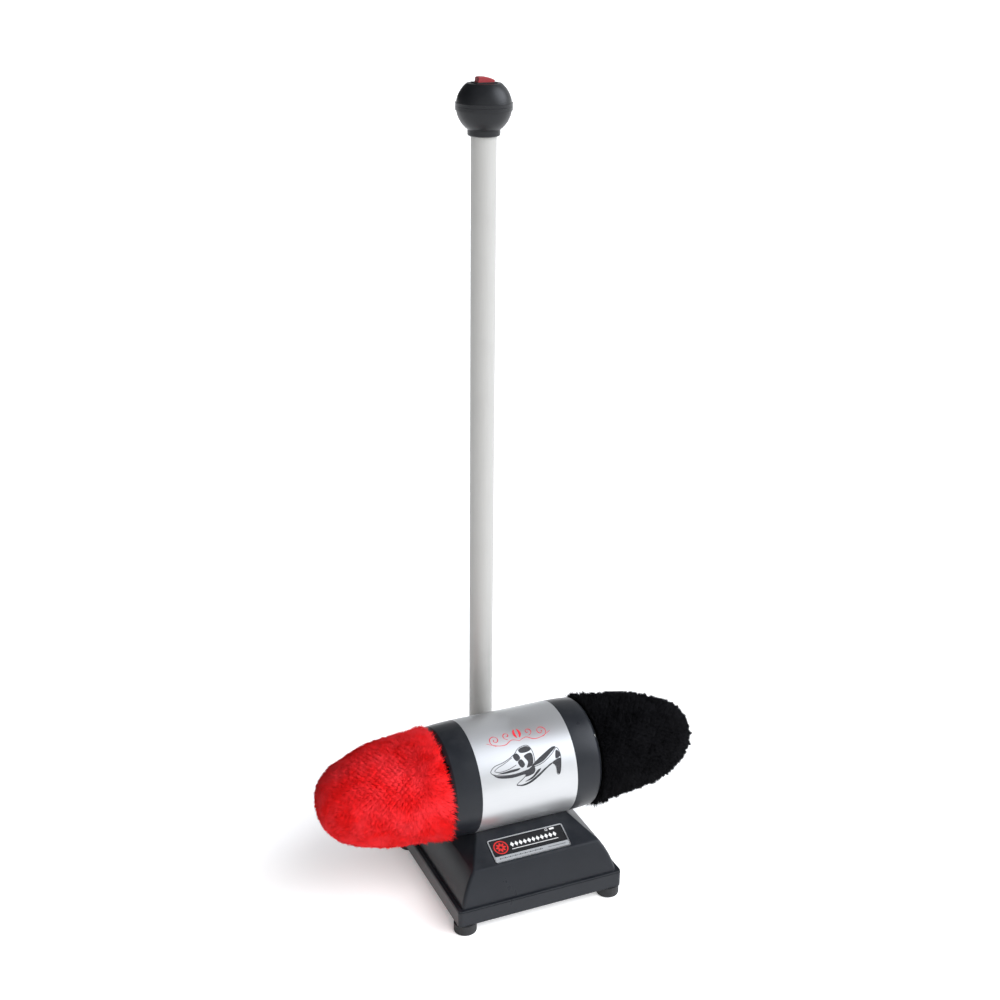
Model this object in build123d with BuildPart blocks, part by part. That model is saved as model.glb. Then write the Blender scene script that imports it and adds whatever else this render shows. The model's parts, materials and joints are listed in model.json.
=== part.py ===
from build123d import *

import os
from math import cos, radians, sin

# Electric shoe polisher: a double-ended motor drum with a wool buffing bonnet on each end of its shaft,
# standing on a sloped base, with an upright pole that carries a ball knob and a rocker switch.
#
# The pieces are modelled about the centre of the base: X runs along the motor shaft, from the red bonnet (-X)
# to the black bonnet (+X), -Y is the front, with the nameplate, the pole stands at +Y, and Z is up from the
# floor. FRAME_SHIFT then moves them so that the origin is under the middle of the whole object.

os.makedirs("parts", exist_ok=True)

# ---- driving dimensions, in millimetres --------------------------------------------------------------
AXIS_Z = 129.5  # height of the motor shaft
DRUM_R = 60.0
SLEEVE_HALF = 54.0
SLEEVE_WALL = 1.0
BELL_END = 84.0  # outer face of an end bell, from the middle of the drum
BELL_WALL = 4.0
SHAFT_R = 6.0
SHAFT_END_R = 5.0
SHAFT_END = 148.0

FOOT_R = 12.0
FOOT_HEIGHT = 11.2
FOOT_X, FOOT_Y = 82.5, 81.5
TRAY_X, TRAY_Y = 93.4, 91.8  # half width and half depth of the tray
TRAY_TOP = 28.2
TRAY_WALL = 3.0
CORNER_R = 4.0

FLANGE_BOTTOM, FLANGE_TOP = 28.8, 30.2  # the cover's rim, a fine gap above the tray
COVER_X, COVER_Y = 88.4, 88.6  # half sizes where the slopes leave the rim
WAIST_X, WAIST_Y, WAIST_Z = 82.8, 84.4, 47.5  # halfway up the curved lower slopes
SHOULDER_X, SHOULDER_Y, SHOULDER_Z = 72.6, 78.4, 65.4
CREST_X, CREST_Y, CREST_Z = 52.0, 37.0, 82.4
COVER_WALL = 3.0
SHOULDER_R = 5.0
RIDGE_R = 3.5

POLE_R = 12.5
POLE_WALL = 1.2
POLE_Y = 74.0
POLE_BOTTOM, POLE_TOP = 36.0, 803.0
TOWER_R = 17.0
TOWER_TOP = 100.0

KNOB_R = 26.8
KNOB_Z = 808.0
KNOB_WALL = 3.0
NECK_R = 15.8
NECK_BOTTOM = 780.5
KNOB_BELT_R, KNOB_BELT = 27.4, 3.5  # raised band at the parting line, and its half height
SEAT_Z = 829.0  # flat top of the knob, which carries the switch

BONNET_START, BONNET_TIP = 88.0, 214.0
HUB_TIP = 200.0

# ---- shared frames -----------------------------------------------------------------------------------
SHAFT_LINE = Axis((0, 0, AXIS_Z), (1, 0, 0))
# Sketches for turned drum parts: local x runs along the shaft and local y is the radius.
TURNING = Plane(origin=(0, 0, AXIS_Z), x_dir=(1, 0, 0), z_dir=(0, -1, 0))
SIDES = {"left": -1, "right": 1}
POLE_FOOT = (0, POLE_Y)


FRAME_SHIFT = (FOOT_Y + FOOT_R - POLE_Y - KNOB_BELT_R) / 2  # from the base's centre to the footprint's


def write(builder, node):
    """Move a finished piece into the part's frame, label it and write it as its own STEP file."""
    builder.part.position = (0, FRAME_SHIFT, 0)
    builder.part.label = node
    export_step(builder.part, f"parts/{node}.step")


def across(x):
    """A plane square to the shaft at x, with its origin on the shaft line and its normal along +X."""
    return Plane(origin=(x, 0, AXIS_Z), x_dir=(0, 1, 0), z_dir=(1, 0, 0))


def corners(x, y):
    """The four points (+-x, +-y)."""
    return [(sx * x, sy * y) for sx in (-1, 1) for sy in (-1, 1)]


# ---- base: feet, tray and cover ----------------------------------------------------------------------
TRAY_FLOOR = FOOT_HEIGHT + TRAY_WALL
COVER_SCREW_X, COVER_SCREW_Y = 70.0, 60.0
CRADLE_BOLT_X, CRADLE_BOLT_Y = 44.0, 27.0
GROMMET_X, GROMMET_Z = 45.0, 20.4
GROMMET_BORE_R = 3.75
GROMMET_HOLE_R, GROMMET_LIP_R, GROMMET_LIP = 5.5, 6.6, 1.8
SCREW_R = 2.0
SCREW_HOLE_R = 2.05
SCREW_HEAD = 2.6
FOOT_HEAD_R, COVER_HEAD_R = 4.2, 3.8
FOOT_SCREW, COVER_SCREW = 16.0, 20.0  # screw lengths under the head
FOOT_RECESS_R, FOOT_RECESS = 5.0, 5.0
DRIVE_LONG, DRIVE_WIDE, DRIVE_DEEP = 5.0, 1.0, 1.4  # cross recess in a screw head
COVER_SEAT = 6.0  # depth of the pockets under the tray for the cover's screws
BOSS_R = 5.0
BOSS_SIDE, BOSS_HEIGHT = 11.0, 8.0
RIB_LENGTH, RIB_WIDTH, RIB_HEIGHT = 120.0, 2.0, 2.6
RIB_PLACES = [(0, -85.2), (0, 0), (0, 46)]
TONGUE = 3.0  # how far the cover's tongue reaches into the tray
TONGUE_GAP = 0.2
SADDLE_GAP = 0.3
BOLT_HOLE_R = 2.6
SOCKET_HOLE_R = 14.7  # bore of the tower, round the pole's socket
GRUB_Z, GRUB_R = TOWER_TOP - 9, 3.0

with BuildPart() as foot:
    Cylinder(FOOT_R, FOOT_HEIGHT, align=(Align.CENTER, Align.CENTER, Align.MIN))
    fillet(foot.edges().group_by(Axis.Z)[0], 1.6)
    chamfer(foot.edges().group_by(Axis.Z)[-1], 0.6)
    with Locations(foot.faces().sort_by(Axis.Z)[0]):
        CounterBoreHole(SCREW_HOLE_R, FOOT_RECESS_R, FOOT_RECESS)

for place, (x, y) in zip(("front_left", "rear_left", "front_right", "rear_right"), corners(FOOT_X, FOOT_Y)):
    with BuildPart() as placed_foot:
        with Locations((x, y, 0)):
            add(foot.part)
    write(placed_foot, f"foot_{place}")

with BuildPart() as foot_screws:
    with BuildSketch(Plane.XY.offset(FOOT_RECESS)):
        with Locations(corners(FOOT_X, FOOT_Y)):
            Circle(SCREW_R)
    extrude(amount=FOOT_SCREW)
    with BuildSketch(Plane.XY.offset(FOOT_RECESS)):
        with Locations(corners(FOOT_X, FOOT_Y)):
            Circle(FOOT_HEAD_R)
    extrude(amount=-SCREW_HEAD)
    with BuildSketch(Plane.XY.offset(FOOT_RECESS - SCREW_HEAD)):
        with Locations(corners(FOOT_X, FOOT_Y)):
            Rectangle(DRIVE_LONG, DRIVE_WIDE)
            Rectangle(DRIVE_WIDE, DRIVE_LONG)
    extrude(amount=DRIVE_DEEP, mode=Mode.SUBTRACT)
write(foot_screws, "foot_screws")

with BuildPart() as base_tray:
    with BuildSketch(Plane.XY.offset(FOOT_HEIGHT)):
        RectangleRounded(2 * TRAY_X, 2 * TRAY_Y, CORNER_R)
    extrude(amount=TRAY_TOP - FOOT_HEIGHT)
    chamfer(base_tray.edges().group_by(Axis.Z)[0], 0.8)
    with BuildSketch(Plane.XY.offset(TRAY_FLOOR)):
        RectangleRounded(2 * (TRAY_X - TRAY_WALL), 2 * (TRAY_Y - TRAY_WALL), 1.5)
    extrude(amount=TRAY_TOP, mode=Mode.SUBTRACT)
    # bosses for the feet and for the cover's screws
    with BuildSketch(Plane.XY.offset(TRAY_FLOOR)):
        with Locations(corners(FOOT_X - 1.5, FOOT_Y - 1.5)):
            Rectangle(BOSS_SIDE, BOSS_SIDE)
    extrude(amount=BOSS_HEIGHT)
    with BuildSketch(Plane.XY.offset(TRAY_FLOOR)):
        with Locations(corners(COVER_SCREW_X, COVER_SCREW_Y)):
            Circle(BOSS_R)
    extrude(amount=TRAY_TOP - TRAY_FLOOR)
    # stiffening ribs under the drum
    with BuildSketch(Plane.XY.offset(TRAY_FLOOR)):
        with Locations(RIB_PLACES):
            Rectangle(RIB_LENGTH, RIB_WIDTH)
    extrude(amount=RIB_HEIGHT)
    with BuildSketch(Plane.XY.offset(FOOT_HEIGHT)):
        with Locations(corners(FOOT_X, FOOT_Y), corners(COVER_SCREW_X, COVER_SCREW_Y)):
            Circle(SCREW_HOLE_R)
    extrude(amount=TRAY_TOP, mode=Mode.SUBTRACT)
    with BuildSketch(Plane.XY.offset(FOOT_HEIGHT)):
        with Locations(corners(COVER_SCREW_X, COVER_SCREW_Y)):
            Circle(COVER_HEAD_R + 0.6)
    extrude(amount=COVER_SEAT, mode=Mode.SUBTRACT)
    with BuildSketch(Plane.XY.offset(FOOT_HEIGHT)):
        with Locations(corners(CRADLE_BOLT_X, CRADLE_BOLT_Y)):
            Circle(BOLT_HOLE_R)
    extrude(amount=TRAY_WALL, mode=Mode.SUBTRACT)
    with BuildSketch(Plane.XZ.offset(-TRAY_Y)):
        with Locations((GROMMET_X, GROMMET_Z)):
            Circle(GROMMET_HOLE_R)
    extrude(amount=TRAY_WALL, mode=Mode.SUBTRACT)
write(base_tray, "base_tray")


def cover_outline(foot, waist, shoulder, crest, inset):
    """The cover's outline from one side, shrunk by inset: a curved lower slope and a flatter upper one."""
    shoulder_z = SHOULDER_Z - 0.6 * inset
    with BuildSketch() as outline:
        with BuildLine():
            for side in SIDES.values():
                ThreePointArc(
                    (side * (foot - inset), FLANGE_TOP - inset),
                    (side * (waist - inset), WAIST_Z - 0.6 * inset),
                    (side * (shoulder - inset), shoulder_z),
                )
                Line((side * (shoulder - inset), shoulder_z), (side * (crest - 0.6 * inset), CREST_Z - inset))
            Line((-foot + inset, FLANGE_TOP - inset), (foot - inset, FLANGE_TOP - inset))
            Line((-crest + 0.6 * inset, CREST_Z - inset), (crest - 0.6 * inset, CREST_Z - inset))
        make_face()
        shoulders = [v for v in outline.vertices() if abs(v.Y - shoulder_z) < 1]
        fillet(shoulders, SHOULDER_R - inset)
    return outline.sketch


def cover_body(inset):
    """The cover's solid shape, shrunk by inset: one outline swept along X, cut by one swept along Y."""
    with BuildPart() as body:
        with BuildSketch(Plane.YZ):
            add(cover_outline(COVER_Y, WAIST_Y, SHOULDER_Y, CREST_Y, inset))
        extrude(amount=TRAY_X, both=True)
        with BuildSketch(Plane.XZ):
            add(cover_outline(COVER_X, WAIST_X, SHOULDER_X, CREST_X, inset))
        extrude(amount=TRAY_Y, both=True, mode=Mode.INTERSECT)
        ridges = [
            e
            for e in body.edges().filter_by(Axis.X, reverse=True).filter_by(Axis.Y, reverse=True)
            if abs(e.center().Y) > CREST_Y and abs(e.center().X) > CREST_X
        ]
        fillet(ridges, max(RIDGE_R - inset, 0.8))
    return body.part


with BuildPart() as cover_bosses:
    with BuildSketch(Plane.XY.offset(FLANGE_TOP - 0.5)):
        with Locations(corners(COVER_SCREW_X, COVER_SCREW_Y)):
            Circle(BOSS_R)
    extrude(amount=SHOULDER_Z - FLANGE_TOP)
    add(cover_body(COVER_WALL / 2), mode=Mode.INTERSECT)
    with BuildSketch(Plane.XY.offset(FLANGE_TOP)):
        with Locations(corners(COVER_SCREW_X, COVER_SCREW_Y)):
            Circle(BOSS_R)
    extrude(amount=TRAY_TOP - FLANGE_TOP)

with BuildPart() as base_cover:
    with BuildSketch(Plane.XY.offset(FLANGE_BOTTOM)):
        RectangleRounded(2 * TRAY_X - 0.4, 2 * TRAY_Y - 0.4, CORNER_R)
    extrude(amount=FLANGE_TOP - FLANGE_BOTTOM)
    fillet(base_cover.edges().group_by(Axis.Z)[-1], 0.5)
    add(cover_body(0))
    # tower round the foot of the pole
    with BuildSketch(Plane.XY.offset(FLANGE_BOTTOM)):
        with Locations(POLE_FOOT):
            Circle(TOWER_R)
    extrude(amount=TOWER_TOP - FLANGE_BOTTOM)
    add(cover_body(COVER_WALL), mode=Mode.SUBTRACT)
    with BuildSketch(Plane.XY.offset(FLANGE_BOTTOM)):
        Rectangle(2 * (COVER_X - COVER_WALL - 0.3), 2 * (COVER_Y - COVER_WALL - 0.3))
    extrude(amount=FLANGE_TOP - FLANGE_BOTTOM, mode=Mode.SUBTRACT)
    add(cover_bosses.part)
    # locating tongue that drops inside the tray wall, leaving the fine seam between rim and tray
    tongue_x, tongue_y = TRAY_X - TRAY_WALL - TONGUE_GAP, TRAY_Y - TRAY_WALL - TONGUE_GAP
    with BuildSketch(Plane.XY.offset(TRAY_TOP - TONGUE)):
        RectangleRounded(2 * tongue_x, 2 * tongue_y, 1.4)
        RectangleRounded(2 * tongue_x - 3.6, 2 * tongue_y - 3.6, 1.0, mode=Mode.SUBTRACT)
        with Locations(corners(FOOT_X, FOOT_Y)):
            Rectangle(2 * FOOT_R + 2, 2 * FOOT_R + 2, mode=Mode.SUBTRACT)
        with Locations((GROMMET_X, TRAY_Y)):
            Rectangle(2 * FOOT_R, 2 * FOOT_R, mode=Mode.SUBTRACT)
    extrude(amount=FLANGE_TOP - TRAY_TOP + TONGUE)
    # the drum lies in a cylindrical saddle
    with BuildSketch(across(-TRAY_X)):
        Circle(DRUM_R + SADDLE_GAP)
    extrude(amount=2 * TRAY_X, mode=Mode.SUBTRACT)
    with BuildSketch(Plane.XY.offset(TRAY_FLOOR)):
        with Locations(POLE_FOOT):
            Circle(SOCKET_HOLE_R)
    extrude(amount=TOWER_TOP, mode=Mode.SUBTRACT)
    with BuildSketch(Plane.XZ.offset(-POLE_Y)):
        with Locations((0, GRUB_Z)):
            Circle(GRUB_R + 0.1)
    extrude(amount=-TOWER_R - 3, mode=Mode.SUBTRACT)
    with BuildSketch(Plane.XY.offset(TRAY_TOP)):
        with Locations(corners(COVER_SCREW_X, COVER_SCREW_Y)):
            Circle(SCREW_HOLE_R)
    extrude(amount=COVER_SCREW - 8, mode=Mode.SUBTRACT)
write(base_cover, "base_cover")

with BuildPart() as cover_screws:
    with BuildSketch(Plane.XY.offset(FOOT_HEIGHT + COVER_SEAT)):
        with Locations(corners(COVER_SCREW_X, COVER_SCREW_Y)):
            Circle(SCREW_R)
    extrude(amount=COVER_SCREW)
    with BuildSketch(Plane.XY.offset(FOOT_HEIGHT + COVER_SEAT)):
        with Locations(corners(COVER_SCREW_X, COVER_SCREW_Y)):
            Circle(COVER_HEAD_R)
    extrude(amount=-SCREW_HEAD)
write(cover_screws, "cover_screws")

with BuildPart() as cord_grommet:
    with BuildSketch(Plane.XZ.offset(-TRAY_Y)):
        with Locations((GROMMET_X, GROMMET_Z)):
            Circle(GROMMET_HOLE_R - 0.1)
    extrude(amount=TRAY_WALL)
    with BuildSketch(Plane.XZ.offset(-TRAY_Y)):
        with Locations((GROMMET_X, GROMMET_Z)):
            Circle(GROMMET_LIP_R)
    extrude(amount=-GROMMET_LIP)
    with BuildSketch(Plane.XZ.offset(-TRAY_Y + TRAY_WALL)):
        with Locations((GROMMET_X, GROMMET_Z)):
            Circle(GROMMET_HOLE_R + 0.4)
    extrude(amount=GROMMET_LIP)
    fillet(cord_grommet.edges().filter_by(GeomType.CIRCLE).sort_by(Axis.Y)[-1], 0.8)
    with BuildSketch(Plane.XZ.offset(-TRAY_Y - GROMMET_LIP)):
        with Locations((GROMMET_X, GROMMET_Z)):
            Circle(GROMMET_BORE_R)
    extrude(amount=2 * GROMMET_LIP + TRAY_WALL, mode=Mode.SUBTRACT)
write(cord_grommet, "cord_grommet")

# ---- nameplate on the upper front slope --------------------------------------------------------------
SLOPE = Vector(0, -(SHOULDER_Y - CREST_Y), SHOULDER_Z - CREST_Z).normalized()
PLATE_WIDTH, PLATE_DEPTH, PLATE_THICK = 86.0, 28.0, 0.9
PLATE_FRAME, PLATE_RECESS = 1.0, 0.3
PLATE_MIDDLE = Vector(-2.5, -SHOULDER_Y, SHOULDER_Z) - SLOPE * 16.8
PLATE_PLANE = Plane(origin=PLATE_MIDDLE, x_dir=(1, 0, 0), z_dir=Vector(1, 0, 0).cross(-SLOPE))

with BuildPart() as nameplate:
    with BuildSketch(PLATE_PLANE):
        RectangleRounded(PLATE_WIDTH, PLATE_DEPTH, 2.2)
    extrude(amount=PLATE_THICK)
    with BuildSketch(PLATE_PLANE.offset(PLATE_THICK)):
        RectangleRounded(PLATE_WIDTH - 2 * PLATE_FRAME, PLATE_DEPTH - 2 * PLATE_FRAME, 1.2)
    extrude(amount=-PLATE_RECESS, mode=Mode.SUBTRACT)
write(nameplate, "nameplate")

# ---- motor drum --------------------------------------------------------------------------------------
TIE_R = 52.5  # radius of the ring of tie rods
TIE_ANGLES = (45, 135, 225, 315)
TIE_POINTS = [(TIE_R * cos(radians(a)), TIE_R * sin(radians(a))) for a in TIE_ANGLES]
STATOR_HALF = 24.0
STATOR_R = 58.85
STATOR_BORE_R = 31.2
BEARING_MIDDLE, BEARING_HALF, BEARING_R = 69.0, 5.0, 16.0
MOUNT_X, MOUNT_ANGLE = 14.0, 22.0
CRADLE_R, CRADLE_WALL = DRUM_R + 0.05, 3.0
BOLT_R, NUT_BORE_R, NUT_HEIGHT = 2.5, 2.52, 4.0
SPIGOT = 6.0  # how far an end bell reaches into the sleeve
SPIGOT_R = DRUM_R - SLEEVE_WALL - 0.05
TIE_BOSS_R, TIE_SEAT_R, TIE_SEAT = 5.4, 5.0, 5.0
BELL_CORNER = 81.0  # where an end bell turns in to its flat face
BELL_RIB_ANGLES = range(0, 360, 45)


def radial_plane(x, angle, radius):
    """A plane on the drum at x, angle degrees round from straight down, facing outward at radius."""
    out = Vector(0, sin(radians(angle)), -cos(radians(angle)))
    return Plane(origin=Vector(x, 0, AXIS_Z) + out * radius, x_dir=(1, 0, 0), z_dir=out)


def radial_cylinders(radius, start, end):
    """Round bars along the four motor mounting bolts, between two distances from the shaft."""
    with BuildPart() as bars:
        for x in (-MOUNT_X, MOUNT_X):
            for angle in (-MOUNT_ANGLE, MOUNT_ANGLE):
                with BuildSketch(radial_plane(x, angle, start)):
                    Circle(radius)
                extrude(amount=end - start)
    return bars.part


with BuildPart() as housing_sleeve:
    with BuildSketch(across(-SLEEVE_HALF)):
        Circle(DRUM_R)
        Circle(DRUM_R - SLEEVE_WALL, mode=Mode.SUBTRACT)
    extrude(amount=2 * SLEEVE_HALF)
    add(radial_cylinders(BOLT_HOLE_R, DRUM_R - 6, DRUM_R + 3), mode=Mode.SUBTRACT)
write(housing_sleeve, "housing_sleeve")


def end_bell(side):
    """A cup that closes one end of the drum: bearing seat in the middle and four tie-rod bosses."""
    with BuildPart() as bell:
        with BuildSketch(TURNING):
            with BuildLine():
                Spline(
                    (side * SLEEVE_HALF, DRUM_R),
                    (side * 68, DRUM_R - 0.4),
                    (side * BELL_CORNER, DRUM_R - 1.6),
                    tangents=((side, 0), (side, -0.16)),
                )
                Polyline(
                    (side * BELL_CORNER, DRUM_R - 1.6),
                    (side * BELL_END, DRUM_R - 4.2),
                    (side * BELL_END, SHAFT_R + 3),
                    (side * (BEARING_MIDDLE + BEARING_HALF), SHAFT_R + 3),
                    (side * (BEARING_MIDDLE + BEARING_HALF), BEARING_R),
                    (side * (BEARING_MIDDLE - BEARING_HALF), BEARING_R),
                    (side * (BEARING_MIDDLE - BEARING_HALF), BEARING_R + 5),
                    (side * (BELL_END - BELL_WALL), BEARING_R + 5),
                    (side * (BELL_END - BELL_WALL), DRUM_R - BELL_WALL),
                    (side * (SLEEVE_HALF - SPIGOT), DRUM_R - BELL_WALL),
                    (side * (SLEEVE_HALF - SPIGOT), SPIGOT_R),
                    (side * SLEEVE_HALF, SPIGOT_R),
                    (side * SLEEVE_HALF, DRUM_R),
                )
            make_face()
        revolve(axis=SHAFT_LINE)
        with BuildSketch(across(side * (SLEEVE_HALF - SPIGOT))):
            with Locations(TIE_POINTS):
                Circle(TIE_BOSS_R)
        extrude(amount=side * (BELL_CORNER - SLEEVE_HALF + SPIGOT))
        for angle in BELL_RIB_ANGLES:
            with BuildSketch(across(side * (BELL_END - BELL_WALL))):
                with Locations(Rotation(0, 0, angle + 22.5)):
                    with Locations((38, 0)):
                        Rectangle(36, 2)
            extrude(amount=side * -9)
        with BuildSketch(across(side * (SLEEVE_HALF - SPIGOT))):
            with Locations(TIE_POINTS):
                Circle(BOLT_HOLE_R)
        extrude(amount=side * (BELL_END - SLEEVE_HALF + SPIGOT), mode=Mode.SUBTRACT)
        with BuildSketch(across(side * BELL_END)):
            with Locations(TIE_POINTS):
                Circle(TIE_SEAT_R)
        extrude(amount=side * -TIE_SEAT, mode=Mode.SUBTRACT)
    return bell


for name, side in SIDES.items():
    write(end_bell(side), f"end_bell_{name}")

with BuildPart() as tie_rods:
    with BuildSketch(across(-BELL_END + TIE_SEAT)):
        with Locations(TIE_POINTS):
            Circle(BOLT_R)
    extrude(amount=2 * BELL_END - TIE_SEAT - 1)
    with BuildSketch(across(-BELL_END + TIE_SEAT)):
        with Locations(TIE_POINTS):
            Circle(4.4)
    extrude(amount=-4.4)
    with BuildSketch(across(-BELL_END + TIE_SEAT - 4.4)):
        with Locations(TIE_POINTS):
            RegularPolygon(2.3, 6)
    extrude(amount=2.4, mode=Mode.SUBTRACT)
write(tie_rods, "tie_rods")

with BuildPart() as tie_rod_nuts:
    with BuildSketch(across(BELL_END - TIE_SEAT)):
        with Locations(TIE_POINTS):
            RegularPolygon(4.7, 6)
    extrude(amount=NUT_HEIGHT)
    with BuildSketch(across(BELL_END - TIE_SEAT)):
        with Locations(TIE_POINTS):
            Circle(NUT_BORE_R)
    extrude(amount=NUT_HEIGHT, mode=Mode.SUBTRACT)
write(tie_rod_nuts, "tie_rod_nuts")

SLOT_COUNT = 24
SLOT_INNER, SLOT_OUTER, SLOT_WIDTH, SLOT_MOUTH = 33.0, 45.0, 4.4, 1.6
SLOT_MIDDLE = (SLOT_INNER + SLOT_OUTER) / 2
TIE_CLEAR_R = 2.9
COIL_OVERHANG, COIL_LENGTH = 3.0, 14.0  # end turns of the winding

with BuildPart() as stator_core:
    with BuildSketch(across(-STATOR_HALF)):
        Circle(STATOR_R)
        Circle(STATOR_BORE_R, mode=Mode.SUBTRACT)
        with PolarLocations(SLOT_MIDDLE, SLOT_COUNT):
            Rectangle(SLOT_OUTER - SLOT_INNER, SLOT_WIDTH, mode=Mode.SUBTRACT)
        with PolarLocations(SLOT_INNER - 0.9, SLOT_COUNT):
            Rectangle(4, SLOT_MOUTH, mode=Mode.SUBTRACT)
        with Locations(TIE_POINTS):
            Circle(TIE_CLEAR_R, mode=Mode.SUBTRACT)
    extrude(amount=2 * STATOR_HALF)
    add(radial_cylinders(BOLT_HOLE_R, 49.5, DRUM_R + 3), mode=Mode.SUBTRACT)
write(stator_core, "stator_core")

with BuildPart() as stator_winding:
    with BuildSketch(across(-STATOR_HALF - COIL_OVERHANG)):
        with PolarLocations(SLOT_MIDDLE, SLOT_COUNT):
            Rectangle(SLOT_OUTER - SLOT_INNER - 0.6, SLOT_WIDTH - 0.4)
    extrude(amount=2 * (STATOR_HALF + COIL_OVERHANG))
    for side in SIDES.values():
        with BuildSketch(TURNING):
            with Locations((side * (STATOR_HALF + 1.5 + COIL_LENGTH / 2), SLOT_MIDDLE)):
                RectangleRounded(COIL_LENGTH, SLOT_OUTER - SLOT_INNER + 1.5, 4)
        revolve(axis=SHAFT_LINE)
write(stator_winding, "stator_winding")


BALL_R, GROOVE_R, BALL_PITCH_R, BALL_COUNT = 2.9, 3.0, 11.0, 7
RING_SPANS = ((13.3, BEARING_R), (SHAFT_R, 8.7))  # inner and outer radius of each ring
CAGE_WIDTH, CAGE_DEPTH = 3.4, 1.4


def bearing(side):
    """Ball bearing, 12 x 32 x 10: its outer ring, inner ring, and cage with balls."""
    middle = side * BEARING_MIDDLE
    rings = []
    for low, high in RING_SPANS:
        with BuildPart() as ring:
            with BuildSketch(TURNING):
                with Locations((middle, (low + high) / 2)):
                    Rectangle(2 * BEARING_HALF, high - low)
                with Locations((middle, BALL_PITCH_R)):
                    Circle(GROOVE_R, mode=Mode.SUBTRACT)
            revolve(axis=SHAFT_LINE)
        rings.append(ring)
    with BuildPart() as cage:
        with BuildSketch(TURNING):
            with Locations((middle, BALL_PITCH_R)):
                Rectangle(CAGE_WIDTH, CAGE_DEPTH)
        revolve(axis=SHAFT_LINE)
        with Locations(across(middle)):
            with PolarLocations(BALL_PITCH_R, BALL_COUNT):
                Sphere(BALL_R)
    return rings[0], rings[1], cage


for name, side in SIDES.items():
    outer_ring, inner_ring, ball_cage = bearing(side)
    write(outer_ring, f"bearing_outer_ring_{name}")
    write(inner_ring, f"bearing_inner_ring_{name}")
    write(ball_cage, f"bearing_ball_cage_{name}")

# ---- rotor and shaft ---------------------------------------------------------------------------------
ROTOR_R, ROTOR_HALF = 30.7, 24.0
BAR_COUNT, BAR_R, BAR_RING_R = 17, 2.05, ROTOR_R - 4.2
END_RING, FAN_BLADES, FAN_LENGTH = 6.0, 9, 7.0
SHAFT_STEP = BELL_END + 2  # where the shaft narrows for a hub
FLAT_LENGTH, FLAT_DEPTH = 36.0, 1.0

with BuildPart() as shaft:
    with BuildSketch(across(-SHAFT_STEP)):
        Circle(SHAFT_R)
    extrude(amount=2 * SHAFT_STEP)
    with BuildSketch(across(-SHAFT_END)):
        Circle(SHAFT_END_R)
    extrude(amount=2 * SHAFT_END)
    chamfer(shaft.faces().sort_by(Axis.X)[0].edges(), 0.8)
    chamfer(shaft.faces().sort_by(Axis.X)[-1].edges(), 0.8)
    for side in SIDES.values():
        with Locations((side * (SHAFT_END - FLAT_LENGTH / 2), 0, AXIS_Z + SHAFT_END_R)):
            Box(FLAT_LENGTH, 2 * SHAFT_R, 2 * FLAT_DEPTH, mode=Mode.SUBTRACT)
write(shaft, "shaft")

with BuildPart() as rotor_core:
    with BuildSketch(across(-ROTOR_HALF)):
        Circle(ROTOR_R)
        Circle(SHAFT_R, mode=Mode.SUBTRACT)
        with PolarLocations(BAR_RING_R, BAR_COUNT):
            Circle(BAR_R + 0.05, mode=Mode.SUBTRACT)
    extrude(amount=2 * ROTOR_HALF)
write(rotor_core, "rotor_core")

with BuildPart() as rotor_cage:
    with BuildSketch(across(-ROTOR_HALF)):
        with PolarLocations(BAR_RING_R, BAR_COUNT):
            Circle(BAR_R)
    extrude(amount=2 * ROTOR_HALF)
    for side in SIDES.values():
        with BuildSketch(across(side * ROTOR_HALF)):
            Circle(ROTOR_R - 0.6)
            Circle(ROTOR_R - 9, mode=Mode.SUBTRACT)
        extrude(amount=side * END_RING)
        with BuildSketch(across(side * (ROTOR_HALF + END_RING))):
            with PolarLocations(ROTOR_R - 4.6, FAN_BLADES):
                Rectangle(7, 2)
        extrude(amount=side * FAN_LENGTH)
write(rotor_cage, "rotor_cage")

# ---- bonnet hubs and wool bonnets --------------------------------------------------------------------
HUB_R, HUB_SHOULDER, HUB_WALL = 45.0, 146.0, 3.0
HUB_BOSS_R, HUB_BOSS_END = 11.0, 146.0
WEB_START, WEB_THICK = 104.0, 4.0
WEB_HOLES, WEB_HOLE_R, WEB_HOLE_RING = 6, 7.0, 27.0
HUB_RIB_THICK, HUB_RIB_LENGTH = 2.2, 26.0
SET_SCREW_X, SET_SCREW_R, SET_SCREW = 98.0, 2.5, 6.0
SHAFT_CLEARANCE = 2.0  # beyond the shaft's end, and between a hub's boss and the drum
HEM_DEPTH, HEM_HEIGHT = 2.6, 3.4
NOSE_R = 4.0  # small flat on the nose of a hub or bonnet
BONNET_RIM_R = 57.0


def hub_outline(side, inset):
    """Lines of the bullet-shaped hub from its rim to its nose, set in by inset."""
    Line((side * BONNET_START, HUB_R - inset), (side * HUB_SHOULDER, HUB_R - 2 - inset))
    Spline(
        (side * HUB_SHOULDER, HUB_R - 2 - inset),
        (side * (184 - 0.8 * inset), 28 - 0.6 * inset),
        (side * (HUB_TIP - inset), NOSE_R),
        tangents=((side, -0.05), (side * 0.2, -1)),
    )
    Line((side * (HUB_TIP - inset), NOSE_R), (side * (HUB_TIP - inset), 0))


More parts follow.
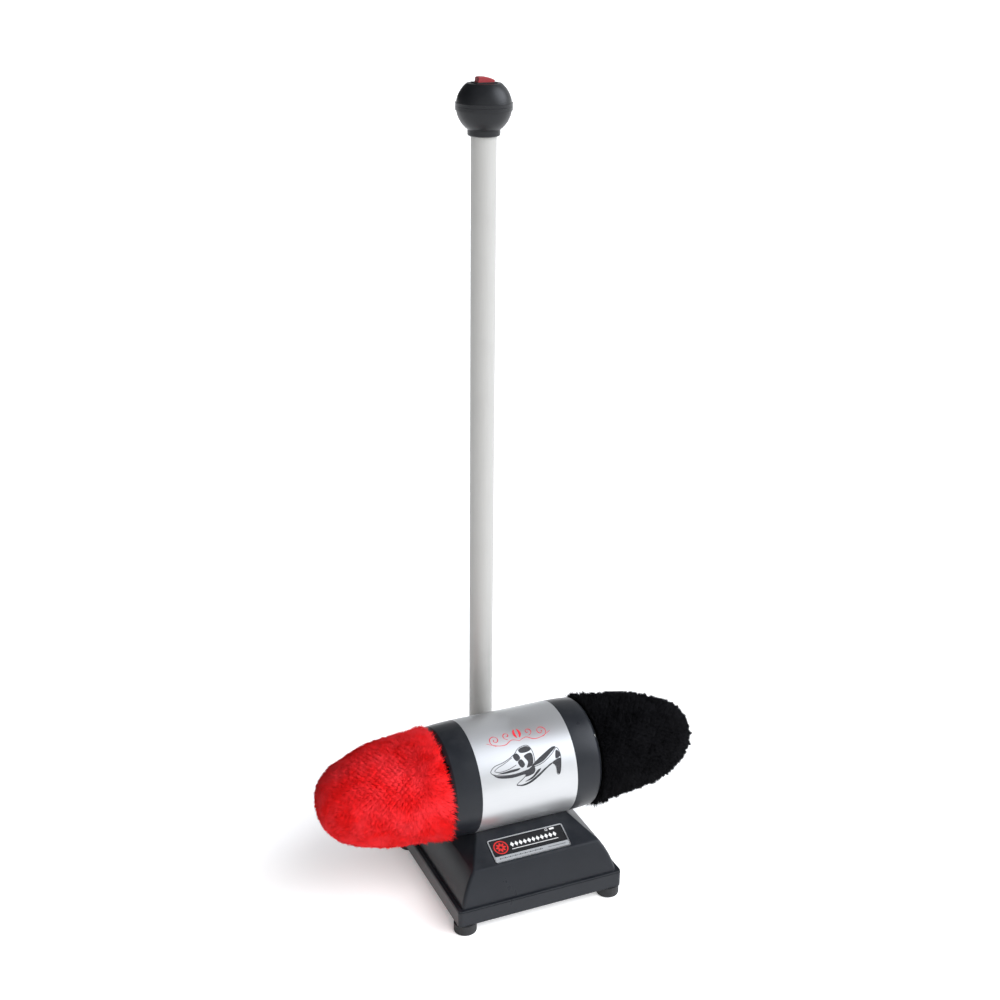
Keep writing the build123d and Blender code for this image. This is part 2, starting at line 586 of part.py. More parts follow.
def hub(side):
    """A moulded former that carries one bonnet: a thin bullet-shaped shell on a web and a bored boss."""
    with BuildPart() as former:
        with BuildSketch(TURNING):
            with BuildLine():
                hub_outline(side, 0)
                Line((side * HUB_TIP, 0), (side * BONNET_START, 0))
                Line((side * BONNET_START, 0), (side * BONNET_START, HUB_R))
            make_face()
        revolve(axis=SHAFT_LINE)
        with BuildSketch(TURNING):
            with BuildLine():
                hub_outline(side, HUB_WALL)
                Line((side * (HUB_TIP - HUB_WALL), 0), (side * BONNET_START, 0))
                Line((side * BONNET_START, 0), (side * BONNET_START, HUB_R - HUB_WALL))
            make_face()
        revolve(axis=SHAFT_LINE, mode=Mode.SUBTRACT)
        with BuildSketch(across(side * (BONNET_START + SHAFT_CLEARANCE))):
            Circle(HUB_BOSS_R)
        extrude(amount=side * (HUB_BOSS_END - BONNET_START - SHAFT_CLEARANCE))
        with BuildSketch(across(side * WEB_START)):
            Circle(HUB_R - 1)
            with PolarLocations(WEB_HOLE_RING, WEB_HOLES):
                Circle(WEB_HOLE_R, mode=Mode.SUBTRACT)
        extrude(amount=side * WEB_THICK)
        for angle in (0, 60, 120):
            with BuildSketch(across(side * (WEB_START + WEB_THICK))):
                with Locations(Rotation(0, 0, angle)):
                    Rectangle(2 * HUB_R - 5, HUB_RIB_THICK)
            extrude(amount=side * HUB_RIB_LENGTH)
        with BuildSketch(across(side * (SHAFT_END + SHAFT_CLEARANCE))):
            Circle(SHAFT_END_R)
        extrude(amount=side * -(SHAFT_END + SHAFT_CLEARANCE - BONNET_START), mode=Mode.SUBTRACT)
        with BuildSketch(Plane.XY.offset(AXIS_Z)):
            with Locations((side * SET_SCREW_X, 0)):
                Circle(SET_SCREW_R + 0.05)
        extrude(amount=HUB_BOSS_R + 3, mode=Mode.SUBTRACT)
    return former


def bonnet(side):
    """One wool bonnet as a plain thick cap that fits the hub, with a rebate at its rim for the elastic."""
    with BuildPart() as cap:
        with BuildSketch(TURNING):
            with BuildLine():
                Spline(
                    (side * BONNET_START, BONNET_RIM_R),
                    (side * 112, 59.2),
                    (side * 146, 55.2),
                    (side * 178, 47.4),
                    (side * 202, 31.0),
                    (side * BONNET_TIP, NOSE_R),
                    tangents=((side, 0.2), (side * 0.1, -1)),
                )
                Polyline((side * BONNET_TIP, NOSE_R), (side * BONNET_TIP, 0), (side * HUB_TIP, 0))
                hub_outline(side, 0)
                Line((side * BONNET_START, HUB_R), (side * BONNET_START, BONNET_RIM_R))
            make_face()
        revolve(axis=SHAFT_LINE)
        with BuildSketch(TURNING):
            with Locations((side * BONNET_START, HUB_R + HEM_HEIGHT / 2)):
                Rectangle(2 * HEM_DEPTH, HEM_HEIGHT + 0.4)
        revolve(axis=SHAFT_LINE, mode=Mode.SUBTRACT)
    return cap


def hem_elastic(side):
    """The flat elastic in the bonnet's hem, which grips the hub's rim."""
    with BuildPart() as band:
        with BuildSketch(TURNING):
            with Locations((side * (BONNET_START + HEM_DEPTH / 2), HUB_R + HEM_HEIGHT / 2)):
                RectangleRounded(HEM_DEPTH - 0.3, HEM_HEIGHT - 0.3, 0.6)
        revolve(axis=SHAFT_LINE)
    return band


for name, side in SIDES.items():
    write(hub(side), f"hub_{name}")
    write(hem_elastic(side), f"bonnet_elastic_{name}")
write(bonnet(SIDES["left"]), "bonnet_red")
write(bonnet(SIDES["right"]), "bonnet_black")

with BuildPart() as hub_set_screws:
    with BuildSketch(Plane.XY.offset(AXIS_Z + SHAFT_END_R + 0.05)):
        with Locations([(side * SET_SCREW_X, 0) for side in SIDES.values()]):
            Circle(SET_SCREW_R)
    extrude(amount=SET_SCREW)
    with BuildSketch(Plane.XY.offset(AXIS_Z + SHAFT_END_R + 0.05 + SET_SCREW)):
        with Locations([(side * SET_SCREW_X, 0) for side in SIDES.values()]):
            RegularPolygon(1.4, 6)
    extrude(amount=-2.5, mode=Mode.SUBTRACT)
write(hub_set_screws, "hub_set_screws")

# ---- motor cradle between tray and drum --------------------------------------------------------------
CRADLE_ANGLE = 30.0
CRADLE_HALF_X, CRADLE_WEB_X, CRADLE_WEB_TOP = 38.0, 30.0, 75.5
CRADLE_DEPTH, PAD_X, PAD_WIDTH = 70.0, 39.0, 21.0
CRADLE_REACH = 70.0  # from the shaft to beyond the cradle's straps

with BuildPart() as motor_cradle:
    # two upright webs, trimmed to the drum
    with BuildSketch(Plane.XY.offset(TRAY_FLOOR + CRADLE_WALL)):
        with Locations((-CRADLE_WEB_X, 0), (CRADLE_WEB_X, 0)):
            Rectangle(CRADLE_WALL, CRADLE_DEPTH)
    extrude(amount=CRADLE_WEB_TOP - TRAY_FLOOR - CRADLE_WALL)
    for side in SIDES.values():
        with BuildSketch(Plane.XY.offset(TRAY_FLOOR)):
            with Locations((side * PAD_X, 0)):
                Rectangle(PAD_WIDTH, CRADLE_DEPTH)
            with Locations([(side * CRADLE_BOLT_X, y) for y in (-CRADLE_BOLT_Y, CRADLE_BOLT_Y)]):
                Circle(BOLT_HOLE_R, mode=Mode.SUBTRACT)
            with Locations((side * PAD_X, 0)):
                Rectangle(PAD_WIDTH + 9, RIB_WIDTH + 1, mode=Mode.SUBTRACT)
        extrude(amount=CRADLE_WALL)
    with BuildSketch(across(-CRADLE_HALF_X)):
        Circle(CRADLE_R + CRADLE_WALL)
        with BuildLine():
            Polyline(
                (0, 0),
                (-CRADLE_REACH * sin(radians(CRADLE_ANGLE)), -CRADLE_REACH * cos(radians(CRADLE_ANGLE))),
                (0, -CRADLE_REACH - 20),
                (CRADLE_REACH * sin(radians(CRADLE_ANGLE)), -CRADLE_REACH * cos(radians(CRADLE_ANGLE))),
                close=True,
            )
        make_face(mode=Mode.INTERSECT)
    extrude(amount=2 * CRADLE_HALF_X)
    with BuildSketch(across(-TRAY_X)):
        Circle(CRADLE_R)
    extrude(amount=2 * TRAY_X, mode=Mode.SUBTRACT)
    add(radial_cylinders(BOLT_HOLE_R, DRUM_R - 3, DRUM_R + 8), mode=Mode.SUBTRACT)
write(motor_cradle, "motor_cradle")

with BuildPart() as motor_mount_bolts:
    add(radial_cylinders(BOLT_R, 50.0, CRADLE_R + CRADLE_WALL))
    add(radial_cylinders(4.2, CRADLE_R + CRADLE_WALL + 0.02, CRADLE_R + CRADLE_WALL + 4))
write(motor_mount_bolts, "motor_mount_bolts")

with BuildPart() as cradle_bolts:
    with BuildSketch(Plane.XY.offset(FOOT_HEIGHT)):
        with Locations(corners(CRADLE_BOLT_X, CRADLE_BOLT_Y)):
            Circle(BOLT_R)
    extrude(amount=14)
    with BuildSketch(Plane.XY.offset(FOOT_HEIGHT)):
        with Locations(corners(CRADLE_BOLT_X, CRADLE_BOLT_Y)):
            Circle(4.6)
    extrude(amount=-3)
write(cradle_bolts, "cradle_bolts")

with BuildPart() as cradle_nuts:
    with BuildSketch(Plane.XY.offset(TRAY_FLOOR + CRADLE_WALL)):
        with Locations(corners(CRADLE_BOLT_X, CRADLE_BOLT_Y)):
            RegularPolygon(4.6, 6)
    extrude(amount=NUT_HEIGHT)
    with BuildSketch(Plane.XY.offset(TRAY_FLOOR + CRADLE_WALL)):
        with Locations(corners(CRADLE_BOLT_X, CRADLE_BOLT_Y)):
            Circle(NUT_BORE_R)
    extrude(amount=NUT_HEIGHT, mode=Mode.SUBTRACT)
write(cradle_nuts, "cradle_nuts")

# ---- electrical parts in the base --------------------------------------------------------------------
CAP_R, CAP_LENGTH, CAP_Y = 14.0, 54.0, -58.0
CLIP_WALL, CLIP_WIDTH = 1.2, 12.0
CAP_Z = TRAY_FLOOR + CAP_R + CLIP_WALL
TAB_THICK, TAB_WIDTH, TAB_LENGTH = 0.8, 6.3, 8.0

with BuildPart() as run_capacitor:
    with BuildSketch(Plane(origin=(-CAP_LENGTH / 2, CAP_Y, CAP_Z), x_dir=(0, 1, 0), z_dir=(1, 0, 0))):
        Circle(CAP_R)
    extrude(amount=CAP_LENGTH)
    fillet(run_capacitor.edges().filter_by(GeomType.CIRCLE), 1.5)
    with BuildSketch(Plane(origin=(CAP_LENGTH / 2, CAP_Y, CAP_Z), x_dir=(0, 1, 0), z_dir=(1, 0, 0))):
        with Locations((-4, 0), (4, 0)):
            Rectangle(TAB_THICK, TAB_WIDTH)
    extrude(amount=TAB_LENGTH)
write(run_capacitor, "run_capacitor")

with BuildPart() as capacitor_clip:
    with BuildSketch(Plane(origin=(-CLIP_WIDTH / 2, CAP_Y, CAP_Z), x_dir=(0, 1, 0), z_dir=(1, 0, 0))):
        Circle(CAP_R + CLIP_WALL - 0.1)
        with Locations((0, -CAP_R - CLIP_WALL / 2)):
            Rectangle(2 * CAP_R + 22, CLIP_WALL)
        Circle(CAP_R + 0.1, mode=Mode.SUBTRACT)
    extrude(amount=CLIP_WIDTH)
write(capacitor_clip, "capacitor_clip")

BLOCK_X, BLOCK_Y = -41.0, POLE_Y - 2
BLOCK_LENGTH, BLOCK_WIDTH, BLOCK_HEIGHT = 34.0, 9.0, 13.0
BLOCK_FOOT_WIDTH, BLOCK_FOOT = 16.0, 6.0
TERMINALS = [(BLOCK_X + dx, BLOCK_Y) for dx in (-11, 0, 11)]
TERMINAL_R, TERMINAL_DEPTH = 2.3, 5.0

with BuildPart() as terminal_block:
    with Locations((BLOCK_X, BLOCK_Y, TRAY_FLOOR)):
        Box(BLOCK_LENGTH, BLOCK_FOOT_WIDTH, BLOCK_FOOT, align=(Align.CENTER, Align.CENTER, Align.MIN))
        Box(BLOCK_LENGTH, BLOCK_WIDTH, BLOCK_HEIGHT, align=(Align.CENTER, Align.CENTER, Align.MIN))
    with BuildSketch(Plane.XY.offset(TRAY_FLOOR + BLOCK_HEIGHT)):
        with Locations(TERMINALS):
            Circle(TERMINAL_R)
    extrude(amount=-TERMINAL_DEPTH, mode=Mode.SUBTRACT)
write(terminal_block, "terminal_block")

with BuildPart() as terminal_screws:
    with BuildSketch(Plane.XY.offset(TRAY_FLOOR + BLOCK_HEIGHT - TERMINAL_DEPTH)):
        with Locations(TERMINALS):
            Circle(TERMINAL_R - 0.1)
    extrude(amount=TERMINAL_DEPTH - 1)
    with BuildSketch(Plane.XY.offset(TRAY_FLOOR + BLOCK_HEIGHT - 1)):
        with Locations(TERMINALS):
            Rectangle(2 * TERMINAL_R + 0.4, 0.8)
    extrude(amount=-1, mode=Mode.SUBTRACT)
write(terminal_screws, "terminal_screws")

# ---- pole --------------------------------------------------------------------------------------------
SOCKET_R, SOCKET_BORE_R = 14.5, POLE_R + 0.1
SOCKET_FOOT_X, SOCKET_FOOT_Y, SOCKET_FOOT = 44.0, 32.0, 3.0
LEAD_HOLE_R = 10.5
LEAD_DOOR_X, LEAD_DOOR_Y, LEAD_DOOR = 14.0, 9.0, 13.0  # opening in the socket's wall for the lead
GRUB_LENGTH = 4.3

with BuildPart() as pole_socket:
    with BuildSketch(Plane.XY.offset(TRAY_FLOOR)):
        with Locations(POLE_FOOT):
            Circle(SOCKET_R)
    extrude(amount=TOWER_TOP - TRAY_FLOOR)
    with BuildSketch(Plane.XY.offset(TRAY_FLOOR)):
        with Locations((0, POLE_Y - 3)):
            RectangleRounded(SOCKET_FOOT_X, SOCKET_FOOT_Y, 3)
    extrude(amount=SOCKET_FOOT)
    with BuildSketch(Plane.XY.offset(TOWER_TOP)):
        with Locations(POLE_FOOT):
            Circle(TOWER_R)
    extrude(amount=4)
    fillet(pole_socket.edges().group_by(Axis.Z)[-1], 1.6)
    with BuildSketch(Plane.XY.offset(POLE_BOTTOM)):
        with Locations(POLE_FOOT):
            Circle(SOCKET_BORE_R)
    extrude(amount=TOWER_TOP, mode=Mode.SUBTRACT)
    with BuildSketch(Plane.XY.offset(TRAY_FLOOR + SOCKET_FOOT)):
        with Locations(POLE_FOOT):
            Circle(LEAD_HOLE_R)
    extrude(amount=TOWER_TOP, mode=Mode.SUBTRACT)
    with Locations((-12, POLE_Y, TRAY_FLOOR + SOCKET_FOOT)):
        Box(
            LEAD_DOOR_X,
            LEAD_DOOR_Y,
            LEAD_DOOR,
            align=(Align.CENTER, Align.CENTER, Align.MIN),
            mode=Mode.SUBTRACT,
        )
    with BuildSketch(Plane.XZ.offset(-POLE_Y)):
        with Locations((0, GRUB_Z)):
            Circle(GRUB_R + 0.05)
    extrude(amount=-TOWER_R - 3, mode=Mode.SUBTRACT)
write(pole_socket, "pole_socket")

with BuildPart() as pole_grub_screw:
    with BuildSketch(Plane.XZ.offset(-POLE_Y - POLE_R)):
        with Locations((0, GRUB_Z)):
            Circle(GRUB_R)
    extrude(amount=-GRUB_LENGTH)
    with BuildSketch(Plane.XZ.offset(-POLE_Y - POLE_R - GRUB_LENGTH)):
        with Locations((0, GRUB_Z)):
            RegularPolygon(1.7, 6)
    extrude(amount=2.2, mode=Mode.SUBTRACT)
write(pole_grub_screw, "pole_grub_screw")

with BuildPart() as pole_tube:
    with BuildSketch(Plane.XY.offset(POLE_BOTTOM)):
        with Locations(POLE_FOOT):
            Circle(POLE_R)
            Circle(POLE_R - POLE_WALL, mode=Mode.SUBTRACT)
    extrude(amount=POLE_TOP - POLE_BOTTOM)
write(pole_tube, "pole_tube")

# ---- knob and rocker switch --------------------------------------------------------------------------
KNOB_CENTRE = (0, POLE_Y, KNOB_Z)
KNOB_GAP = 0.1  # half the gap between the knob's halves
LIP_R, LIP_WALL, LIP_REACH = KNOB_R - KNOB_WALL - 0.35, 1.8, 3.0
NECK_HEIGHT = 8.0
SLEEVE_R = POLE_R + 2.2  # inner sleeve that grips the top of the pole
SEAT_THICK = 3.0
SWITCH_X, SWITCH_Y, SWITCH_DEPTH = 19.6, 12.4, 15.0  # switch body in its cut-out
SWITCH_WALL = 3.0
BEZEL_X, BEZEL_Y, BEZEL_THICK = 22.0, 15.0, 1.0
BEZEL_TOP = SEAT_Z + BEZEL_THICK
ROCKER_X, ROCKER_Y = 16.4, 9.6
ROCKER_TILT = 10.0  # at rest, with its left end up
ROCKER_END, ROCKER_CROWN = 5.9, 7.2  # heights of its ends and its middle above the pivot
ROCKER_WAIST, ROCKER_KEEL, ROCKER_KEEL_X = 1.0, 4.6, 5.6
PIVOT_Z = BEZEL_TOP - 2.5
PIVOT_R, PIVOT_HALF = 1.3, 5.4
TERMINAL_X, TERMINAL_REACH = 5.0, 7.0


def knob_shell(start, height, keep):
    """Half of the hollow ball, cut at start, with its half of the belt round the parting line."""
    with BuildPart() as half:
        with Locations(KNOB_CENTRE):
            Sphere(KNOB_R)
        with BuildSketch(Plane.XY.offset(KNOB_Z - KNOB_BELT)):
            with Locations(POLE_FOOT):
                Circle(KNOB_BELT_R)
        extrude(amount=2 * KNOB_BELT)
        with Locations(KNOB_CENTRE):
            Sphere(KNOB_R - KNOB_WALL, mode=Mode.SUBTRACT)
        split(bisect_by=Plane.XY.offset(start + height), keep=keep)
    return half.part


with BuildPart() as knob_lower:
    add(knob_shell(KNOB_Z, -KNOB_GAP, Keep.BOTTOM))
    with BuildSketch(Plane.XY.offset(NECK_BOTTOM)):
        with Locations(POLE_FOOT):
            Circle(NECK_R)
    extrude(amount=NECK_HEIGHT)
    chamfer(knob_lower.edges().group_by(Axis.Z)[0], 1.0)
    # inner sleeve and stop for the top of the pole
    with BuildSketch(Plane.XY.offset(NECK_BOTTOM + 2)):
        with Locations(POLE_FOOT):
            Circle(SLEEVE_R)
    extrude(amount=POLE_TOP - NECK_BOTTOM - 0.2)
    with BuildSketch(Plane.XY.offset(NECK_BOTTOM)):
        with Locations(POLE_FOOT):
            Circle(POLE_R + 0.05)
    extrude(amount=POLE_TOP - NECK_BOTTOM, mode=Mode.SUBTRACT)
    with BuildSketch(Plane.XY.offset(POLE_TOP)):
        with Locations(POLE_FOOT):
            Circle(POLE_R - 2.5)
    extrude(amount=5, mode=Mode.SUBTRACT)
write(knob_lower, "knob_lower")

with BuildPart() as seat_block:
    with Locations(KNOB_CENTRE):
        Sphere(KNOB_R)
    split(bisect_by=Plane.XY.offset(SEAT_Z - SEAT_THICK), keep=Keep.TOP)

with BuildPart() as knob_upper:
    add(knob_shell(KNOB_Z, KNOB_GAP, Keep.TOP))
    add(seat_block.part)
    split(bisect_by=Plane.XY.offset(SEAT_Z), keep=Keep.BOTTOM)
    fillet(knob_upper.edges().filter_by(GeomType.CIRCLE).group_by(Axis.Z)[-1], 0.8)
    with Locations((0, POLE_Y, SEAT_Z)):
        Box(SWITCH_X + 0.3, SWITCH_Y + 0.3, 4 * SEAT_THICK, mode=Mode.SUBTRACT)
    # snap lip that enters the lower half
    with BuildSketch(Plane.XY.offset(KNOB_Z + KNOB_GAP)):
        with Locations(POLE_FOOT):
            Circle(KNOB_R - 1)
            Circle(LIP_R - LIP_WALL, mode=Mode.SUBTRACT)
    extrude(amount=LIP_REACH)
    with BuildSketch(Plane.XY.offset(KNOB_Z - LIP_REACH)):
        with Locations(POLE_FOOT):
            Circle(LIP_R)
            Circle(LIP_R - LIP_WALL, mode=Mode.SUBTRACT)
    extrude(amount=LIP_REACH + 1)
write(knob_upper, "knob_upper")

with BuildPart() as switch_body:
    with BuildSketch(Plane.XY.offset(SEAT_Z)):
        with Locations(POLE_FOOT):
            RectangleRounded(BEZEL_X, BEZEL_Y, 1.0)
    extrude(amount=BEZEL_THICK)
    chamfer(switch_body.edges().group_by(Axis.Z)[-1], 0.4)
    with BuildSketch(Plane.XY.offset(SEAT_Z)):
        with Locations(POLE_FOOT):
            Rectangle(SWITCH_X, SWITCH_Y)
    extrude(amount=-SWITCH_DEPTH)
    with BuildSketch(Plane.XY.offset(BEZEL_TOP)):
        with Locations(POLE_FOOT):
            Rectangle(ROCKER_X + 2.2, ROCKER_Y + 0.4)
    extrude(amount=-BEZEL_THICK, mode=Mode.SUBTRACT)
    with BuildSketch(Plane.XY.offset(SEAT_Z)):
        with Locations(POLE_FOOT):
            Rectangle(ROCKER_X + 1.4, ROCKER_Y + 0.4)
    extrude(amount=SWITCH_WALL - SWITCH_DEPTH, mode=Mode.SUBTRACT)
    with BuildSketch(Plane.XZ.offset(-POLE_Y - PIVOT_HALF - 0.2)):
        with Locations((0, PIVOT_Z)):
            Circle(PIVOT_R + 0.05)
    extrude(amount=2 * (PIVOT_HALF + 0.2), mode=Mode.SUBTRACT)
write(switch_body, "switch_body")

with BuildPart() as upright_rocker:
    with BuildSketch(Plane.XZ.offset(-POLE_Y - ROCKER_Y / 2)):
        with BuildLine():
            ThreePointArc(
                (-ROCKER_X / 2, PIVOT_Z + ROCKER_END),
                (0, PIVOT_Z + ROCKER_CROWN),
                (ROCKER_X / 2, PIVOT_Z + ROCKER_END),
            )
            Polyline(
                (ROCKER_X / 2, PIVOT_Z + ROCKER_END),
                (ROCKER_X / 2, PIVOT_Z - ROCKER_WAIST),
                (ROCKER_KEEL_X, PIVOT_Z - ROCKER_KEEL),
                (-ROCKER_KEEL_X, PIVOT_Z - ROCKER_KEEL),
                (-ROCKER_X / 2, PIVOT_Z - ROCKER_WAIST),
                (-ROCKER_X / 2, PIVOT_Z + ROCKER_END),
            )
        make_face()
    extrude(amount=ROCKER_Y)
    fillet(upright_rocker.faces().sort_by(Axis.Z)[-1].edges(), 0.8)
    with BuildSketch(Plane.XZ.offset(-POLE_Y - PIVOT_HALF)):
        with Locations((0, PIVOT_Z)):
            Circle(PIVOT_R)
    extrude(amount=2 * PIVOT_HALF)

with BuildPart() as switch_rocker:
    add(upright_rocker.part.rotate(Axis((0, POLE_Y, PIVOT_Z), (0, 1, 0)), ROCKER_TILT))
write(switch_rocker, "switch_rocker")

with BuildPart() as switch_terminals:
    with BuildSketch(Plane.XY.offset(SEAT_Z - SWITCH_DEPTH)):
        with Locations((-TERMINAL_X, POLE_Y), (TERMINAL_X, POLE_Y)):
            Rectangle(TAB_THICK, 4.8)
    extrude(amount=-TERMINAL_REACH)
write(switch_terminals, "switch_terminals")

# ---- lead from the switch, down inside the pole, to the terminal block -------------------------------
LEAD_R = 1.6
LEAD_TOP, LEAD_BOTTOM = 807.0, TRAY_FLOOR + 8.6
LEAD_END_X = BLOCK_X + 17
LEAD_BEND_R = 0.45 * abs(LEAD_END_X)

with BuildPart() as switch_lead:
    with BuildLine() as lead_path:
        FilletPolyline(
            (0, POLE_Y, LEAD_TOP),
            (0, POLE_Y, LEAD_BOTTOM),
            (LEAD_END_X, POLE_Y, LEAD_BOTTOM),
            radius=LEAD_BEND_R,
        )
    with BuildSketch(Plane.XY.offset(LEAD_TOP)):
        with Locations(POLE_FOOT):
            Circle(LEAD_R)
    sweep(path=lead_path.line)
write(switch_lead, "switch_lead")
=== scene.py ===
import json
import math

import bpy
import numpy as np
from mathutils import Matrix, Vector, geometry, kdtree


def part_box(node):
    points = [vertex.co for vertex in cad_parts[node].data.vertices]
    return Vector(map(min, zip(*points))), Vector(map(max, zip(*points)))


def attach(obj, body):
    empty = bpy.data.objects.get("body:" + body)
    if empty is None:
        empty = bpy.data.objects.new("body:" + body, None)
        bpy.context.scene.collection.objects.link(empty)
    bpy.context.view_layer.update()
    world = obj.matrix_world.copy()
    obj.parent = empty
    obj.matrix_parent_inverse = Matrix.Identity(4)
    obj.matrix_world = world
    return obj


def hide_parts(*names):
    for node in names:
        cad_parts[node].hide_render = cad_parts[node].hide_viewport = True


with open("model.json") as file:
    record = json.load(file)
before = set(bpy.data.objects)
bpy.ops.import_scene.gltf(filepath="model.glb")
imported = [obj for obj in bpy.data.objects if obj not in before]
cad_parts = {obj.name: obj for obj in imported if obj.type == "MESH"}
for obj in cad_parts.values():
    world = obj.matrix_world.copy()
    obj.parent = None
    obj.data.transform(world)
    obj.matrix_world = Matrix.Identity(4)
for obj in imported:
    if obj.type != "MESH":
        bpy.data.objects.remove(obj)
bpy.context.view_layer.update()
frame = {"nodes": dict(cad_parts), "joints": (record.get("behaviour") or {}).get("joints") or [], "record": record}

# Electric shoe polisher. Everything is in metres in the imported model's frame: X along the motor shaft from the
# red bonnet to the black one, -Y the front, Z up.

MM = 0.001
NODES = frame["nodes"]
JOINTS = {joint["name"]: joint for joint in frame["joints"]}
SHAFT = Vector(JOINTS["rotor_spin"]["pos_m"])


# ---- camera, stage and light -------------------------------------------------------------------------

CAMERA_AT = Vector((-0.5735, -1.26775, 0.98428))
CAMERA_AZIMUTH = math.radians(-23.953)
CAMERA_DOWN = math.radians(21.603)
CAMERA_ROLL = math.radians(0.603)
CAMERA_LENS = 54.08


def add_camera():
    """The camera stands front left, above the drum, and looks down at the polisher."""
    data = bpy.data.cameras.new("camera")
    data.lens = CAMERA_LENS
    data.sensor_width = 36
    data.clip_end = 100
    camera = bpy.data.objects.new("camera", data)
    look = Vector((
        -math.sin(CAMERA_AZIMUTH) * math.cos(CAMERA_DOWN),
        math.cos(CAMERA_AZIMUTH) * math.cos(CAMERA_DOWN),
        -math.sin(CAMERA_DOWN),
    ))
    side = look.cross(Vector((0, 0, 1))).normalized()
    up = side.cross(look)
    turned_side = side * math.cos(CAMERA_ROLL) + up * math.sin(CAMERA_ROLL)
    turned_up = up * math.cos(CAMERA_ROLL) - side * math.sin(CAMERA_ROLL)
    camera.matrix_world = Matrix.Translation(CAMERA_AT) @ Matrix((turned_side, turned_up, -look)).transposed().to_4x4()
    bpy.context.scene.collection.objects.link(camera)
    bpy.context.scene.camera = camera


def link(obj):
    bpy.context.scene.collection.objects.link(obj)
    return obj


# ---- material building blocks ------------------------------------------------------------------------

def shader(name, **inputs):
    """A new node material; returns it with its node tree and its Principled shader, with sockets set by name."""
    mat = bpy.data.materials.new(name)
    mat.use_nodes = True
    tree = mat.node_tree
    bsdf = tree.nodes["Principled BSDF"]
    for key, value in inputs.items():
        socket = bsdf.inputs[key.replace("_", " ")]
        socket.default_value = (*value, 1) if isinstance(value, tuple) and len(value) == 3 else value
    return mat, tree, bsdf


def add_node(tree, kind, sockets=None, **settings):
    """Adds a node; sockets gives input values or links, by name or index."""
    made = tree.nodes.new(kind)
    for key, value in settings.items():
        setattr(made, key, value)
    for key, value in (sockets or {}).items():
        if isinstance(value, bpy.types.NodeSocket):
            tree.links.new(value, made.inputs[key])
        else:
            made.inputs[key].default_value = value
    return made


def place(tree, stretch=(1, 1, 1)):
    """Object coordinates, scaled along each axis."""
    where = add_node(tree, "ShaderNodeTexCoord").outputs["Object"]
    return add_node(tree, "ShaderNodeMapping", {"Vector": where, "Scale": stretch}).outputs[0]


def noise(tree, per_metre, detail=3.0, rough=0.55, stretch=(1, 1, 1)):
    """Noise with about per_metre features in a metre."""
    sockets = {"Vector": place(tree, stretch), "Scale": per_metre, "Detail": detail, "Roughness": rough}
    return add_node(tree, "ShaderNodeTexNoise", sockets).outputs["Fac"]


def ramp(tree, factor, *stops):
    """A colour ramp; each stop is (position, value) or (position, (r, g, b))."""
    made = add_node(tree, "ShaderNodeValToRGB", {"Fac": factor})
    elements = made.color_ramp.elements
    for i, (position, value) in enumerate(stops):
        element = elements[i] if i < 2 else elements.new(position)
        element.position = position
        element.color = (*value, 1) if isinstance(value, tuple) else (value, value, value, 1)
    return made.outputs["Color"]


def mix(tree, factor, a, b, blend="MIX"):
    made = add_node(tree, "ShaderNodeMix", data_type="RGBA", blend_type=blend)
    for index, value in ((0, factor), (6, a), (7, b)):
        if isinstance(value, bpy.types.NodeSocket):
            tree.links.new(value, made.inputs[index])
        else:
            made.inputs[index].default_value = (*value, 1) if isinstance(value, tuple) else value
    return made.outputs[2]


def bump(tree, height, depth, strength=1.0, under=None):
    """A bump of that depth in metres; under is the normal it is added to."""
    sockets = {"Height": height, "Distance": depth, "Strength": strength}
    if under is not None:
        sockets["Normal"] = under
    return add_node(tree, "ShaderNodeBump", sockets).outputs["Normal"]


def connect(tree, bsdf, **links):
    for key, socket in links.items():
        tree.links.new(socket, bsdf.inputs[key.replace("_", " ")])


DUST = (0.20, 0.20, 0.21)


def dusted(tree, colour, amount=0.05):
    """A little pale dust where a surface faces up."""
    normal = add_node(tree, "ShaderNodeNewGeometry").outputs["Normal"]
    height = add_node(tree, "ShaderNodeSeparateXYZ", {0: normal}).outputs["Z"]
    patches = ramp(tree, noise(tree, 60, 5), (0.42, 0.0), (0.75, 1.0))
    facing = ramp(tree, height, (0.45, 0.0), (1.0, amount))
    return mix(tree, mix(tree, 1.0, facing, patches, "MULTIPLY"), colour, DUST)


# ---- materials ---------------------------------------------------------------------------------------

def satin_paint(name, colour, light, roughness, peel=0.00004):
    """Satin paint: a fine orange peel, cloudy colour and gloss, and a little dust on top."""
    mat, tree, bsdf = shader(name, Specular_IOR_Level=0.27)
    clouds = noise(tree, 35, 4)
    base = mix(tree, clouds, colour, light)
    speckle = ramp(tree, noise(tree, 1800, 2), (0.66, 0.0), (0.72, 1.0))
    base = mix(tree, mix(tree, 1.0, speckle, (0.25, 0.25, 0.25), "MULTIPLY"), base, tuple(2.2 * c for c in light))
    smears = noise(tree, 18, 5, stretch=(1, 1, 0.4))
    gloss = ramp(tree, smears, (0.3, roughness - 0.05), (0.7, roughness + 0.07))
    texture = bump(tree, noise(tree, 900, 2), peel)
    connect(tree, bsdf, Base_Color=dusted(tree, base), Roughness=gloss, Normal=texture)
    return mat


